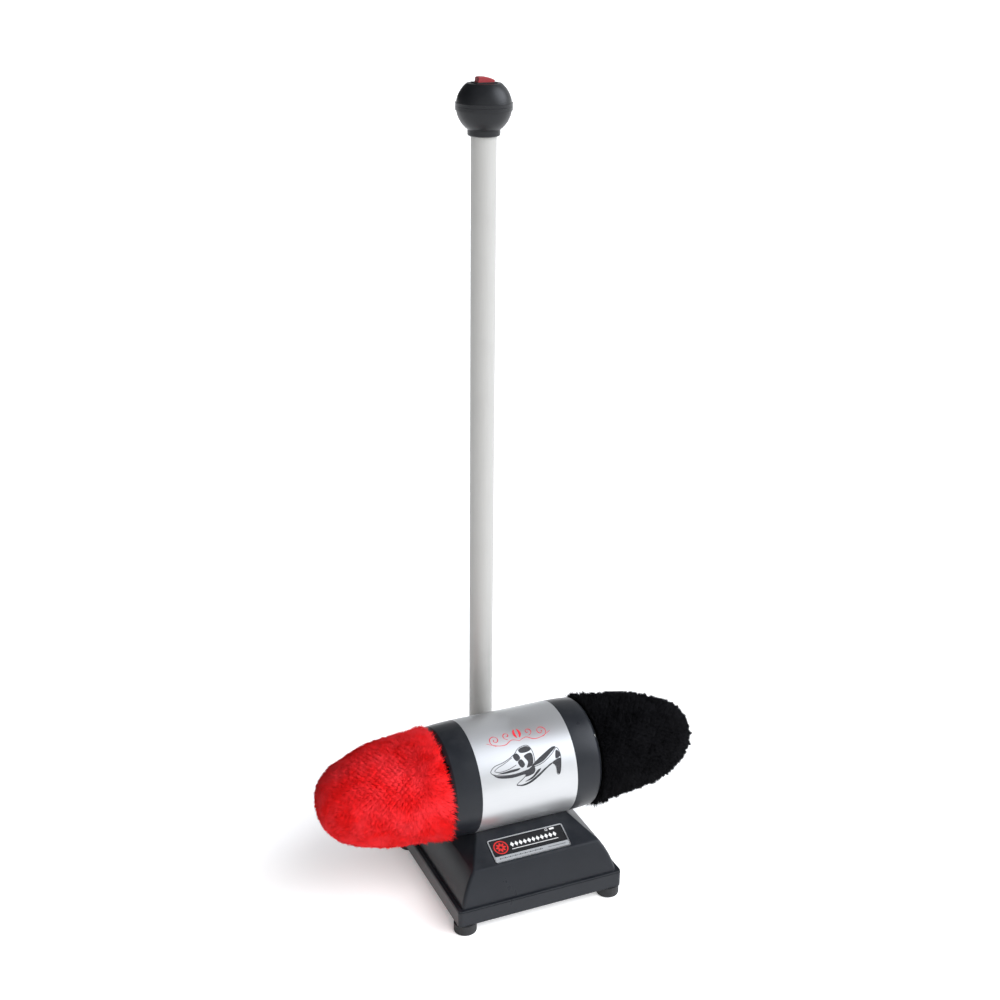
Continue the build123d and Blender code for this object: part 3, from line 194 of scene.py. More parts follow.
def moulded_plastic(name, colour, light, roughness, grain=0.00003):
    """Spark-eroded moulded plastic with faint flow marks."""
    mat, tree, bsdf = shader(name, Specular_IOR_Level=0.3)
    base = mix(tree, noise(tree, 25, 5, stretch=(1, 1, 2)), colour, light)
    gloss = ramp(tree, noise(tree, 70, 4), (0.3, roughness - 0.04), (0.7, roughness + 0.08))
    fine = bump(tree, noise(tree, 2200, 3, 0.6), grain)
    wavy = bump(tree, noise(tree, 120, 2), 0.00005, 0.5, fine)
    connect(tree, bsdf, Base_Color=dusted(tree, base, amount=0.03), Roughness=gloss, Normal=wavy)
    return mat


def brushed_metal(name, colour, light, along, roughness, metallic=1.0):
    """Metal with long fine scratches along one axis, and faint stains."""
    stretch = {"X": (1.2, 60, 60), "Z": (60, 60, 1.2)}[along]
    mat, tree, bsdf = shader(name, Metallic=metallic, Anisotropic=0.45)
    lines = noise(tree, 40, 4, 0.7, stretch)
    stains = noise(tree, 22, 5)
    base = mix(tree, lines, colour, light)
    base = mix(tree, ramp(tree, stains, (0.55, 0.0), (0.9, 0.3)), base, tuple(0.8 * c for c in colour))
    gloss = mix(tree, 0.6, (roughness,) * 3, ramp(tree, lines, (0.2, roughness - 0.1), (0.8, roughness + 0.14)))
    connect(tree, bsdf, Base_Color=base, Roughness=gloss, Normal=bump(tree, lines, 0.000012))
    return mat


def turned_metal(name, colour, light, roughness=0.28):
    """Metal turned on a lathe about the shaft line: fine rings by distance from it, and a satin body."""
    mat, tree, bsdf = shader(name, Metallic=1.0)
    rings = noise(tree, 40, 3, 0.6, (70, 1, 1))
    base = mix(tree, rings, colour, light)
    base = mix(tree, ramp(tree, noise(tree, 90, 5), (0.5, 0.0), (0.9, 0.35)), base, tuple(0.7 * c for c in colour))
    gloss = ramp(tree, rings, (0.2, roughness - 0.08), (0.8, roughness + 0.1))
    connect(tree, bsdf, Base_Color=base, Roughness=gloss, Normal=bump(tree, rings, 0.00001))
    return mat


def rubber(name, colour=(0.018, 0.018, 0.019)):
    """Matt moulded rubber with scuffs and a fine grain."""
    mat, tree, bsdf = shader(name, Specular_IOR_Level=0.35)
    scuffs = ramp(tree, noise(tree, 260, 5, 0.7, (1, 1, 3)), (0.58, 0.0), (0.75, 0.4))
    base = mix(tree, scuffs, colour, (0.07, 0.07, 0.072))
    gloss = ramp(tree, noise(tree, 150, 3), (0.3, 0.62), (0.7, 0.8))
    fine = bump(tree, noise(tree, 1600, 3), 0.00008)
    connect(tree, bsdf, Base_Color=base, Roughness=gloss, Normal=fine)
    return mat


def laminations(name):
    """Stacked electrical steel: thin layers along the shaft, with a blued edge."""
    mat, tree, bsdf = shader(name, Metallic=0.9)
    stack = add_node(tree, "ShaderNodeTexWave", {"Vector": place(tree), "Scale": 320.0, "Distortion": 0.6},
                     bands_direction="X")
    layers = stack.outputs["Fac"]
    base = ramp(tree, layers, (0.0, (0.05, 0.055, 0.065)), (0.25, (0.22, 0.23, 0.25)), (1.0, (0.36, 0.37, 0.39)))
    rust = ramp(tree, noise(tree, 130, 5), (0.6, 0.0), (0.8, 0.6))
    base = mix(tree, rust, base, (0.20, 0.11, 0.07))
    gloss = ramp(tree, noise(tree, 200, 3), (0.3, 0.35), (0.7, 0.6))
    connect(tree, bsdf, Base_Color=base, Roughness=gloss, Normal=bump(tree, layers, 0.0001))
    return mat


def winding(name):
    """Enamelled copper wire, laid in strands, under a varnish."""
    mat, tree, bsdf = shader(name, Metallic=0.85, Coat_Weight=0.6, Coat_Roughness=0.15)
    strands = noise(tree, 30, 3, 0.6, (6, 28, 28))
    base = ramp(tree, strands, (0.3, (0.22, 0.06, 0.02)), (0.5, (0.62, 0.24, 0.08)), (0.75, (0.85, 0.42, 0.18)))
    gloss = ramp(tree, noise(tree, 90, 3), (0.3, 0.22), (0.7, 0.4))
    connect(tree, bsdf, Base_Color=base, Roughness=gloss, Normal=bump(tree, strands, 0.0004))
    return mat


def woven_elastic(name):
    """Narrow woven elastic: ribs across its width, with a fine weave."""
    mat, tree, bsdf = shader(name, Roughness=0.85, Sheen_Weight=0.3, Sheen_Roughness=0.5)
    ribs = noise(tree, 30, 2, 0.5, (70, 20, 20))
    base = ramp(tree, ribs, (0.35, (0.01, 0.01, 0.01)), (0.6, (0.05, 0.05, 0.052)))
    connect(tree, bsdf, Base_Color=base, Normal=bump(tree, ribs, 0.0003))
    return mat


def wool(name, root, middle, tip, sheen, specular, patch):
    """Wool pile: painted shade darkens it towards the roots, where the fibres shade one another, and it is lighter at
    the tips; each lock is a slightly different tone, and noise paints shade into creases.
    """
    mat, tree, bsdf = shader(name, Sheen_Weight=sheen, Sheen_Roughness=0.45, Sheen_Tint=tip,
                             Specular_IOR_Level=specular)
    along = add_node(tree, "ShaderNodeAttribute", attribute_name="along").outputs["Fac"]
    lock = add_node(tree, "ShaderNodeAttribute", attribute_name="lock").outputs["Fac"]
    # painted shade: low 'along' at the roots gives the dark root colour, as if the fibres above shaded them; the tips
    # get the light colour
    base = ramp(tree, along, (0.0, root), (0.5, middle), (1.0, tip))
    base = mix(tree, 1.0, base, ramp(tree, lock, (0.0, 0.80), (1.0, 1.0)), "MULTIPLY")
    patches = ramp(tree, noise(tree, 38, 4), (0.40, 0.0), (0.68, 0.8))
    base = mix(tree, patches, base, patch)
    # painted shade: noise darkens the pile in patches, standing in for the shade in its creases
    painted_crease_shade = ramp(tree, noise(tree, 130, 4, 0.65), (0.28, 0.78), (0.44, 1.0))
    base = mix(tree, 1.0, base, painted_crease_shade, "MULTIPLY")
    gloss = ramp(tree, noise(tree, 600, 2), (0.3, 0.7), (0.7, 0.92))
    fine = bump(tree, noise(tree, 1500, 3, 0.7), 0.0003)
    connect(tree, bsdf, Base_Color=base, Roughness=gloss, Normal=fine)
    return mat


def printed_ink(name, colour, worn):
    """Screen-printed ink, thin and slightly uneven."""
    mat, tree, bsdf = shader(name, Specular_IOR_Level=0.3)
    base = mix(tree, ramp(tree, noise(tree, 700, 4), (0.45, 0.0), (0.8, 0.5)), colour, worn)
    gloss = ramp(tree, noise(tree, 300, 2), (0.3, 0.35), (0.7, 0.55))
    connect(tree, bsdf, Base_Color=base, Roughness=gloss, Normal=bump(tree, noise(tree, 1500, 2), 0.00002))
    return mat


def stage_paper(name):
    """Seamless white paper."""
    mat, tree, bsdf = shader(name, Specular_IOR_Level=0.15)
    base = mix(tree, noise(tree, 3, 3), (0.90, 0.90, 0.905), (0.925, 0.925, 0.925))
    connect(tree, bsdf, Base_Color=base, Roughness=ramp(tree, noise(tree, 8, 2), (0.3, 0.75), (0.7, 0.9)))
    bsdf.inputs["Emission Color"].default_value = (1, 1, 1, 1)
    bsdf.inputs["Emission Strength"].default_value = 0.30
    return mat


def cad_materials():
    """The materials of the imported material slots, apart from the wool, and of the tie rods."""
    charcoal, pale_charcoal = (0.0080, 0.0092, 0.0118), (0.0115, 0.0132, 0.0168)
    return {
        "base_paint": satin_paint("base_paint", charcoal, pale_charcoal, 0.31),
        "bell_paint": satin_paint("bell_paint", charcoal, pale_charcoal, 0.32, 0.00002),
        "drum_metal": brushed_metal("drum_metal", (0.54, 0.55, 0.56), (0.63, 0.635, 0.64), "X", 0.40, 0.85),
        "pole_metal": brushed_metal("pole_metal", (0.335, 0.330, 0.315), (0.40, 0.395, 0.38), "Z", 0.42, 0.25),
        "knob_plastic": moulded_plastic("knob_plastic", (0.0065, 0.0070, 0.0082), (0.010, 0.0108, 0.0125), 0.33),
        "switch_black": moulded_plastic("switch_black", (0.010, 0.010, 0.011), (0.02, 0.02, 0.021), 0.4),
        "rocker_red": moulded_plastic("rocker_red", (0.22, 0.022, 0.028), (0.28, 0.034, 0.04), 0.30, 0.00001),
        "elastic": woven_elastic("elastic"),
        "hub_plastic": moulded_plastic("hub_plastic", (0.02, 0.02, 0.02), (0.035, 0.035, 0.035), 0.5),
        "rubber_black": rubber("rubber_black"),
        "plate_metal": brushed_metal("plate_metal", (0.62, 0.63, 0.64), (0.80, 0.80, 0.80), "X", 0.28),
        "zinc_steel": turned_metal("zinc_steel", (0.50, 0.50, 0.48), (0.68, 0.68, 0.64)),
        "blackened_steel": turned_metal("blackened_steel", (0.012, 0.012, 0.014), (0.03, 0.03, 0.033), 0.45),
        "cradle_steel": satin_paint("cradle_steel", (0.02, 0.02, 0.02), (0.035, 0.035, 0.035), 0.5),
        "lamination": laminations("lamination"),
        "winding_copper": winding("winding_copper"),
        "rotor_aluminium": turned_metal("rotor_aluminium", (0.60, 0.60, 0.60), (0.75, 0.75, 0.76), 0.4),
        "bearing_steel": turned_metal("bearing_steel", (0.55, 0.55, 0.54), (0.72, 0.72, 0.71), 0.18),
        "contact_brass": turned_metal("contact_brass", (0.62, 0.42, 0.14), (0.80, 0.58, 0.24), 0.25),
        "block_plastic": moulded_plastic("block_plastic", (0.62, 0.58, 0.48), (0.72, 0.68, 0.58), 0.4),
        "capacitor_case": moulded_plastic("capacitor_case", (0.60, 0.60, 0.58), (0.70, 0.70, 0.68), 0.35),
        "lead_jacket": rubber("lead_jacket", (0.05, 0.05, 0.052)),
    }


def paint_cad():
    """Gives every carried-over CAD node the material of its slot; the tie rods' ends are blackened."""
    made = cad_materials()
    for entry in frame["record"]["subparts"]:
        look = "blackened_steel" if entry["node"] == "tie_rods" else entry["material_slot"]
        if look in made:
            mesh = NODES[entry["node"]].data
            mesh.materials.clear()
            mesh.materials.append(made[look])


# ---- wool bonnets ------------------------------------------------------------------------------------

def mesh_piece(name, points, faces, mat, smooth=True, normals=None, **point_values):
    """A mesh object from arrays; faces is a list of arrays of rows of corners, and point_values are attributes."""
    mesh = bpy.data.meshes.new(name)
    mesh.vertices.add(len(points))
    mesh.vertices.foreach_set("co", np.asarray(points, np.float32).ravel())
    sizes = np.concatenate([np.full(len(group), group.shape[1], np.int32) for group in faces])
    mesh.loops.add(int(sizes.sum()))
    mesh.loops.foreach_set("vertex_index", np.concatenate([group.ravel() for group in faces]).astype(np.int32))
    mesh.polygons.add(len(sizes))
    mesh.polygons.foreach_set("loop_start", (np.cumsum(sizes) - sizes).astype(np.int32))
    mesh.update(calc_edges=True)
    for key, values in point_values.items():
        mesh.attributes.new(key, "FLOAT", "POINT").data.foreach_set("value", np.asarray(values, np.float32))
    mesh.materials.append(mat)
    mesh.shade_smooth() if smooth else mesh.shade_flat()
    if normals is not None:
        mesh.normals_split_custom_set_from_vertices(normals)
    return link(bpy.data.objects.new(name, mesh))


def lattice_noise(points, size, seed):
    """Smooth noise from -1 to 1 at each point, with features of that size in metres."""
    scaled = points / size
    cell = np.floor(scaled).astype(np.int64)
    part = scaled - cell
    part = part * part * (3 - 2 * part)
    total = np.zeros(len(points))
    for corner in np.ndindex(2, 2, 2):
        at = cell + corner
        mixed = at[:, 0] * 73856093 ^ at[:, 1] * 19349663 ^ at[:, 2] * 83492791 ^ (seed * 2654435761)
        mixed = (mixed ^ (mixed >> 13)) * 1274126177 & 0x7FFFFFFF
        value = mixed / 0x3FFFFFFF - 1
        weight = np.prod(np.where(corner, part, 1 - part), axis=1)
        total += weight * value
    return total


ROOT_SINK = 0.8 * MM
RIM_SHARE = 0.10
RIM_LIFT = 4.2 * MM
LOW_FRONT = math.radians(207)
FIBRES_A_PIECE = 19500


class Bonnet:
    """One wool bonnet: a bullet of revolution about the shaft, from its rim by the drum to its nose."""

    def __init__(self, name, side, power, radius, length, droop, dents, look):
        low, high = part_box(name)
        self.name, self.side, self.look = name, side, look
        self.power, self.radius, self.length, self.droop = power, radius, length, droop
        self.rim_x = low.x if side > 0 else high.x
        self.dents = [(self.surface(np.array([u]), np.array([math.radians(turn)]))[0], size, depth)
                      for u, turn, size, depth in dents]

    def surface(self, u, turn, inset=0.0):
        """Points and normals at share u of the way along the outline and angle turn round the shaft."""
        p = self.power
        lean = np.clip(u, 0, 1) * math.pi / 2
        along = np.sin(lean) ** (2 / p)
        out = np.cos(lean) ** (2 / p)
        nx = (along ** (p - 1)) * self.radius
        nr = (out ** (p - 1)) * self.length
        size = np.sqrt(nx * nx + nr * nr)
        nx, nr = nx / size, nr / size
        x = along * self.length - nx * inset
        r = out * self.radius - nr * inset
        sag = -self.droop * np.sin(along * math.pi / 2) ** 2
        x, y, z = self.rim_x + self.side * x, SHAFT.y + r * np.cos(turn), SHAFT.z + r * np.sin(turn) + sag
        points = np.stack([x, y, z], 1)
        normals = np.stack([self.side * nx, nr * np.cos(turn), nr * np.sin(turn)], 1)
        return points, normals

    def spread(self, count, seed):
        """Evenly scattered (u, turn) pairs over the surface, by area."""
        u = np.linspace(0, 1, 400)
        flat, _ = self.surface(u, np.zeros_like(u))
        radius = np.abs(flat[:, 1] - SHAFT.y)
        step = np.linalg.norm(np.diff(flat, axis=0), axis=1)
        area = np.concatenate([[0], np.cumsum(step * (radius[1:] + radius[:-1]) / 2)])
        pick = np.random.default_rng(seed)
        share = np.clip((np.arange(count) + 0.5 + pick.uniform(-0.6, 0.6, count)) / count, 0, 1)
        turn = (np.arange(count) * math.pi * (3 - math.sqrt(5)) + pick.normal(0, 0.012, count)) % (2 * math.pi)
        return np.interp(share * area[-1], area, u), turn

    def lumps(self, points):
        """How far the pile stands out or in at each point: soft lumps all over, and a few wide dents."""
        seed = self.look["seed"]
        wide, narrow = lattice_noise(points, 34 * MM, seed), lattice_noise(points, 13 * MM, seed + 1)
        rise = self.look["swell"] * (1.3 * wide + 0.7 * narrow)
        for centre, size, depth in self.dents:
            away = ((points - centre) ** 2).sum(1)
            rise = rise - depth * np.exp(-away / (2 * size * size))
        return rise

    def ground(self, mat, slot):
        """The woolly ground: the whole cap as one closed shell, with small locks all over its outside."""
        rings, turns, look = 130, 300, self.look
        u = np.linspace(0, 1, rings)[:-1]
        turn = np.arange(turns) * 2 * math.pi / turns
        grid_u, grid_turn = np.repeat(u, turns), np.tile(turn, len(u))
        points, normals = self.surface(grid_u, grid_turn, look["depth"])
        fine = lattice_noise(points, 2.6 * MM, look["seed"] + 5)
        tufts = fine + 0.8 * lattice_noise(points, 5 * MM, look["seed"] + 7)
        points = points + normals * (self.lumps(points) + look["tuft"] * tufts)[:, None]
        nose, _ = self.surface(np.ones(1), np.zeros(1), look["depth"])
        # from the rim the cap turns in over the hem and runs back under itself along the hub
        inner = [(0.4, 51.5), (0.0, 49.2), (3.0, 48.9), (3.2, 45.4), (40.0, 44.6), (60.0, 43.0), (82.0, 34.0),
                 (98.0, 20.0), (106.0, 8.0)]
        lining = []
        for number, (x, r) in enumerate(inner):
            gather = 0.5 * np.sin(46 * turn) + 0.3 * np.sin(29 * turn + 1) if number < 2 else 0.0
            radius = (r + gather) * MM
            depth = np.full(turns, self.rim_x + self.side * x * MM)
            lining.append(np.stack([depth, SHAFT.y + radius * np.cos(turn), SHAFT.z + radius * np.sin(turn)], 1))
        end = np.array([[self.rim_x + self.side * 108 * MM, SHAFT.y, SHAFT.z]])
        count = len(points)
        everything = np.concatenate([points, nose, *lining, end])
        order = [np.arange(i * turns, (i + 1) * turns) for i in range(len(u))][::-1]
        order += [count + 1 + np.arange(i * turns, (i + 1) * turns) for i in range(len(inner))]
        quads = np.concatenate([np.stack([a, np.roll(a, -1), np.roll(b, -1), b], 1) for a, b in zip(order, order[1:])])
        first, last = order[0], order[-1]
        caps = np.concatenate([
            np.stack([np.full(turns, count), np.roll(first, -1), first], 1),
            np.stack([np.full(turns, len(everything) - 1), last, np.roll(last, -1)], 1),
        ])
        if self.side < 0:
            quads, caps = quads[:, ::-1], caps[:, ::-1]
        rest = len(everything) - count
        # painted shade: 'along' makes the ground darker than the fibre tips and darker still in the hollows between its
        # tufts, where fine is low; the lining is given a dark value too
        along = np.concatenate([np.clip(0.42 + 0.2 * fine, 0, 1), np.full(rest, 0.3)])
        lock = np.concatenate([0.5 + 0.5 * lattice_noise(points, 6 * MM, look["seed"] + 9), np.full(rest, 0.5)])
        piece = mesh_piece(f"{self.name}_wool", everything, [quads, caps], mat, along=along, lock=lock)
        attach(piece, "rotor")
        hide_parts(self.name)

    def pile(self, tag, mat, slot, count, seed):
        """Thin curved tapering fibres, combed one way with soft swirls; neighbours bend together into locks."""
        look = self.look
        pick = np.random.default_rng(seed)
        u, turn = self.spread(count, seed)
        clump_u, clump_turn = self.spread(look["clumps"], look["seed"])
        depth = look["depth"]
        under, normals = self.surface(u, turn, depth)
        centres, centre_normals = self.surface(clump_u, clump_turn, depth)
        tree = kdtree.KDTree(len(centres))
        for i, point in enumerate(centres):
            tree.insert(point, i)
        tree.balance()
        near = np.array([tree.find(point)[1] for point in under])
        shade = np.random.default_rng(look["seed"]).uniform(0, 1, len(centres))[near]
        height = depth * pick.uniform(*look["height"], count) + self.lumps(under) + look["tuft"] * (2 * shade - 1)
        roots = under - normals * ROOT_SINK
        # the way the pile is combed: one main way along the surface, turned by slow swirls
        swirl = np.stack([lattice_noise(under, look["swirl_size"], look["seed"] + k) for k in (20, 21, 22)], 1)
        comb = np.array(look["comb"]) * [self.side, 1, 1] + look["swirl"] * swirl
        comb = comb - normals * (comb * normals).sum(1)[:, None]
        tip = roots + normals * height[:, None] + comb * MM + pick.normal(0, look["stray"] * MM, (count, 3))
        middle = centres[near] + centre_normals[near] * (height - ROOT_SINK)[:, None] + comb * MM
        # at the rim the wool stands out over the gap to the drum, most of all low down in front
        edge = np.clip(1 - u / RIM_SHARE, 0, 1)
        low_front = np.clip(np.cos(turn - LOW_FRONT), 0, 1) ** 2
        tip = tip + (middle - tip) * (look["clumping"] * (1 - 0.7 * edge) * pick.uniform(0.5, 1.0, count))[:, None]
        rim = edge ** 0.7 * pick.uniform(0.4, 1.0, count) * (0.76 + 0.55 * low_front) * (0.85 + 0.3 * shade)
        tip = tip - np.array([self.side, 0, 0]) * rim[:, None] * look["overhang"] + normals * rim[:, None] * RIM_LIFT
        knee = roots + normals * (0.62 * height)[:, None] + pick.normal(0, 0.6 * look["stray"] * MM, (count, 3))
        knee = knee + 0.25 * comb * MM
        twist = pick.uniform(0, 2 * math.pi, count)
        width = look["width"] * pick.uniform(0.7, 1.3, count)
        axis_a = np.cross(normals, np.array([0.31, 0.2, 0.93]))
        axis_a /= np.linalg.norm(axis_a, axis=1)[:, None]
        axis_b = np.cross(normals, axis_a)
        layers, facing = [], []
        for stop, share in ((0.0, 1.0), (0.55, 0.9)):
            middle = roots * (1 - stop) ** 2 + knee * 2 * stop * (1 - stop) + tip * stop ** 2
            coil = look["curl"] * stop * MM
            middle = middle + axis_a * (coil * np.cos(twist * 3))[:, None]
            middle = middle + axis_b * (coil * np.sin(twist * 3))[:, None]
            for corner in range(3):
                angle = twist + corner * 2 * math.pi / 3
                out = axis_a * np.cos(angle)[:, None] + axis_b * np.sin(angle)[:, None]
                layers.append(middle + out * (width * share)[:, None])
                facing.append(normals + look["roundness"] * out)
        layers.append(tip)
        facing.append(normals)
        points = np.stack(layers, 1).reshape(-1, 3)
        facing = np.stack(facing, 1).reshape(-1, 3)
        facing /= np.linalg.norm(facing, axis=1)[:, None]
        base = np.arange(count)[:, None] * 7
        quads = np.concatenate([base + [[k, (k + 1) % 3, 3 + (k + 1) % 3, 3 + k]] for k in range(3)])
        tris = np.concatenate([base + [[3 + k, 3 + (k + 1) % 3, 6]] for k in range(3)] + [base + [[2, 1, 0]]])
        # painted shade: 'along' is low at each fibre's root, so the wool material paints the roots darker than the tips
        along = np.tile(np.array([0.1] * 3 + [0.65] * 3 + [1.0]), count)
        lock = np.repeat(np.clip(0.6 * shade + 0.4 * pick.uniform(0, 1, count), 0, 1), 7)
        piece = mesh_piece(f"{self.name}_pile_{tag}", points, [quads, tris], mat, normals=facing, along=along,
                           lock=lock)
        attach(piece, "rotor")


RED_LOOK = {
    "seed": 11, "depth": 5.5 * MM, "swell": 1.3 * MM, "tuft": 0.6 * MM, "clumps": 1700, "clumping": 0.50,
    "height": (0.82, 1.16), "comb": (3.0, 0.8, -1.8), "swirl": 2.6, "swirl_size": 20 * MM, "stray": 0.8,
    "overhang": 9.0 * MM, "width": 0.44 * MM, "curl": 0.3, "roundness": 0.7,
}
BLACK_LOOK = {
    "seed": 31, "depth": 5.5 * MM, "swell": 1.0 * MM, "tuft": 1.9 * MM, "clumps": 1400, "clumping": 0.80,
    "height": (0.8, 1.25), "comb": (0.8, 0.2, -0.5), "swirl": 2.6, "swirl_size": 9 * MM, "stray": 1.0,
    "overhang": 4.0 * MM, "width": 0.52 * MM, "curl": 1.1, "roundness": 1.2,
}


def add_bonnets():
    red_wool = wool("red_wool", (0.50, 0.003, 0.004), (0.82, 0.007, 0.008), (0.95, 0.014, 0.015), 0.15, 0.12,
                    (0.95, 0.045, 0.055))
    black_wool = wool("black_wool", (0.0006, 0.0006, 0.0008), (0.0018, 0.0018, 0.0023), (0.0042, 0.0042, 0.0052), 0.0,
                      0.10, (0.0050, 0.0050, 0.0060))
    # dents: share of the way to the nose, turn in degrees from the back over the top, size and depth
    red_dents = ((0.42, 66, 9 * MM, 3.0 * MM), (0.30, 200, 16 * MM, 1.4 * MM))
    black_dents = ((0.55, 300, 14 * MM, 1.2 * MM),)
    red = Bonnet("bonnet_red", -1, 2.6, 58.6 * MM, 122.5 * MM, 1.0 * MM, red_dents, RED_LOOK)
    black = Bonnet("bonnet_black", 1, 2.3, 58.4 * MM, 131 * MM, 3.0 * MM, black_dents, BLACK_LOOK)
    for bonnet, mat, slot, tags in ((red, red_wool, "red_wool", "abc"), (black, black_wool, "black_wool", "ab")):
        bonnet.ground(mat, slot)
        for number, tag in enumerate(tags):
            bonnet.pile(tag, mat, slot, FIBRES_A_PIECE, bonnet.look["seed"] + 40 + number)


# ---- thin printed and inlaid shapes ------------------------------------------------------------------

def smooth(points, closed=False, steps=8):
    """A smooth line through a few points (Catmull-Rom)."""
    points = [Vector(p) for p in points]
    count = len(points)
    line = []
    spans = count if closed else count - 1
    for i in range(spans):
        a, b, c, d = (points[(i + k) % count] if closed else points[min(max(i + k, 0), count - 1)]
                      for k in (-1, 0, 1, 2))
        for step in range(steps):
            t = step / steps
            bend, twist = 2 * a - 5 * b + 4 * c - d, 3 * b - a - 3 * c + d
            line.append(0.5 * (2 * b + (c - a) * t + bend * t * t + twist * t ** 3))
    if not closed:
        line.append(points[-1])
    return line


PANEL_GRID = 3.0


class Inlay:
    """Gathers flat shapes in a two-way sketch, in millimetres, and wraps them onto a surface as thin solids."""

    def __init__(self, wrap, low, high):
        self.wrap, self.low, self.high = wrap, low, high
        self.points, self.faces = [], []

    def solid(self, outline_points, triangles, walls):
        start, count = len(self.points), len(outline_points)
        self.points += [self.wrap(p[0], p[1], self.low) for p in outline_points]
        self.points += [self.wrap(p[0], p[1], self.high) for p in outline_points]
        for a, b, c in triangles:
            self.faces.append((start + a, start + c, start + b))
            self.faces.append((start + count + a, start + count + b, start + count + c))
        for a, b in walls:
            self.faces.append((start + a, start + b, start + count + b, start + count + a))

    def panel(self, outline):
        """A filled outline, with inner points on a grid so that it follows a curved surface."""
        outline = [Vector((p[0], p[1])) for p in outline]
        count = len(outline)
        edges = [(i, (i + 1) % count) for i in range(count)]
        xs, ys = [p.x for p in outline], [p.y for p in outline]
        inner = []
        for i in range(1, int((max(xs) - min(xs)) / PANEL_GRID) + 1):
            for j in range(1, int((max(ys) - min(ys)) / PANEL_GRID) + 1):
                point = Vector((min(xs) + i * PANEL_GRID, min(ys) + j * PANEL_GRID))
                crossings = 0
                for a, b in edges:
                    p, q = outline[a], outline[b]
                    if (p.y > point.y) == (q.y > point.y):
                        continue
                    if point.x < p.x + (point.y - p.y) * (q.x - p.x) / (q.y - p.y):
                        crossings += 1
                if crossings % 2 and min((point - p).length for p in outline) > 0.3 * PANEL_GRID:
                    inner.append(point)
        made = geometry.delaunay_2d_cdt(outline + inner, edges, [list(range(count))], 1, 1e-6)
        points, triangles = made[0], made[2]
        sides = [pair for a, b, c in triangles for pair in ((a, b), (b, c), (c, a))]
        used = set(sides)
        walls = [pair for pair in sides if (pair[1], pair[0]) not in used]
        self.solid(points, triangles, walls)

    def stroke(self, line, width, closed=False):
        """A line with a width, or with a width at each point."""
        line = [Vector((p[0], p[1])) for p in line]
        count = len(line)
        widths = width if hasattr(width, "__len__") else [width] * count
        left, right = [], []
        for i, point in enumerate(line):
            before = line[i - 1] if closed or i > 0 else point
            after = line[(i + 1) % count] if closed or i < count - 1 else point
            run = (after - before).normalized()
            out = Vector((-run.y, run.x)) * widths[i] / 2
            left.append(point + out)
            right.append(point - out)
        triangles, walls = [], []
        spans = count if closed else count - 1
        for i in range(spans):
            j = (i + 1) % count
            triangles += [(i, count + i, count + j), (i, count + j, j)]
            walls += [(count + i, count + j), (j, i)]
        if not closed:
            walls += [(0, count), (2 * count - 1, count - 1)]
        self.solid(left + right, triangles, walls)

    def make(self, name, mat):
        groups = [np.array([face for face in self.faces if len(face) == size]) for size in (3, 4)]
        piece = mesh_piece(name, self.points, groups, mat, smooth=False)
        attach(piece, "base")


def rectangle(x0, y0, x1, y1, corner=0.0):
    """Outline of a rectangle, with rounded corners if corner is over 0."""
    if corner <= 0:
        return [(x0, y0), (x1, y0), (x1, y1), (x0, y1)]
    points = []
    for cx, cy, start in ((x1 - corner, y1 - corner, 0), (x0 + corner, y1 - corner, 90),
                          (x0 + corner, y0 + corner, 180), (x1 - corner, y0 + corner, 270)):
        for step in range(5):
            angle = math.radians(start + step * 22.5)
            points.append((cx + corner * math.cos(angle), cy + corner * math.sin(angle)))
    return points


def circle(x, y, r, steps):
    return [(x + r * math.cos(2 * math.pi * i / steps), y + r * math.sin(2 * math.pi * i / steps))
            for i in range(steps)]


# ---- print on the drum sleeve ------------------------------------------------------------------------

def on_sleeve(x, arc, height):
    """A point on the sleeve: x along the drum and arc up its front from level with the shaft, in millimetres."""
    low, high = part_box("housing_sleeve")
    radius = (high.z - low.z) / 2
    angle = arc * MM / radius
    out = radius + height
    return (x * MM, SHAFT.y - out * math.cos(angle), SHAFT.z + out * math.sin(angle))


INK_LOW, INK_HIGH = 0.01 * MM, 0.09 * MM


def pen(line, thin, thick, slant):
    """Widths along a line drawn with a slanted pen nib."""
    widths = []
    for i in range(len(line)):
        run = Vector(line[min(i + 1, len(line) - 1)]) - Vector(line[max(i - 1, 0)])
        widths.append(thin + (thick - thin) * abs(math.sin(math.atan2(run.y, run.x) - slant)))
    return widths


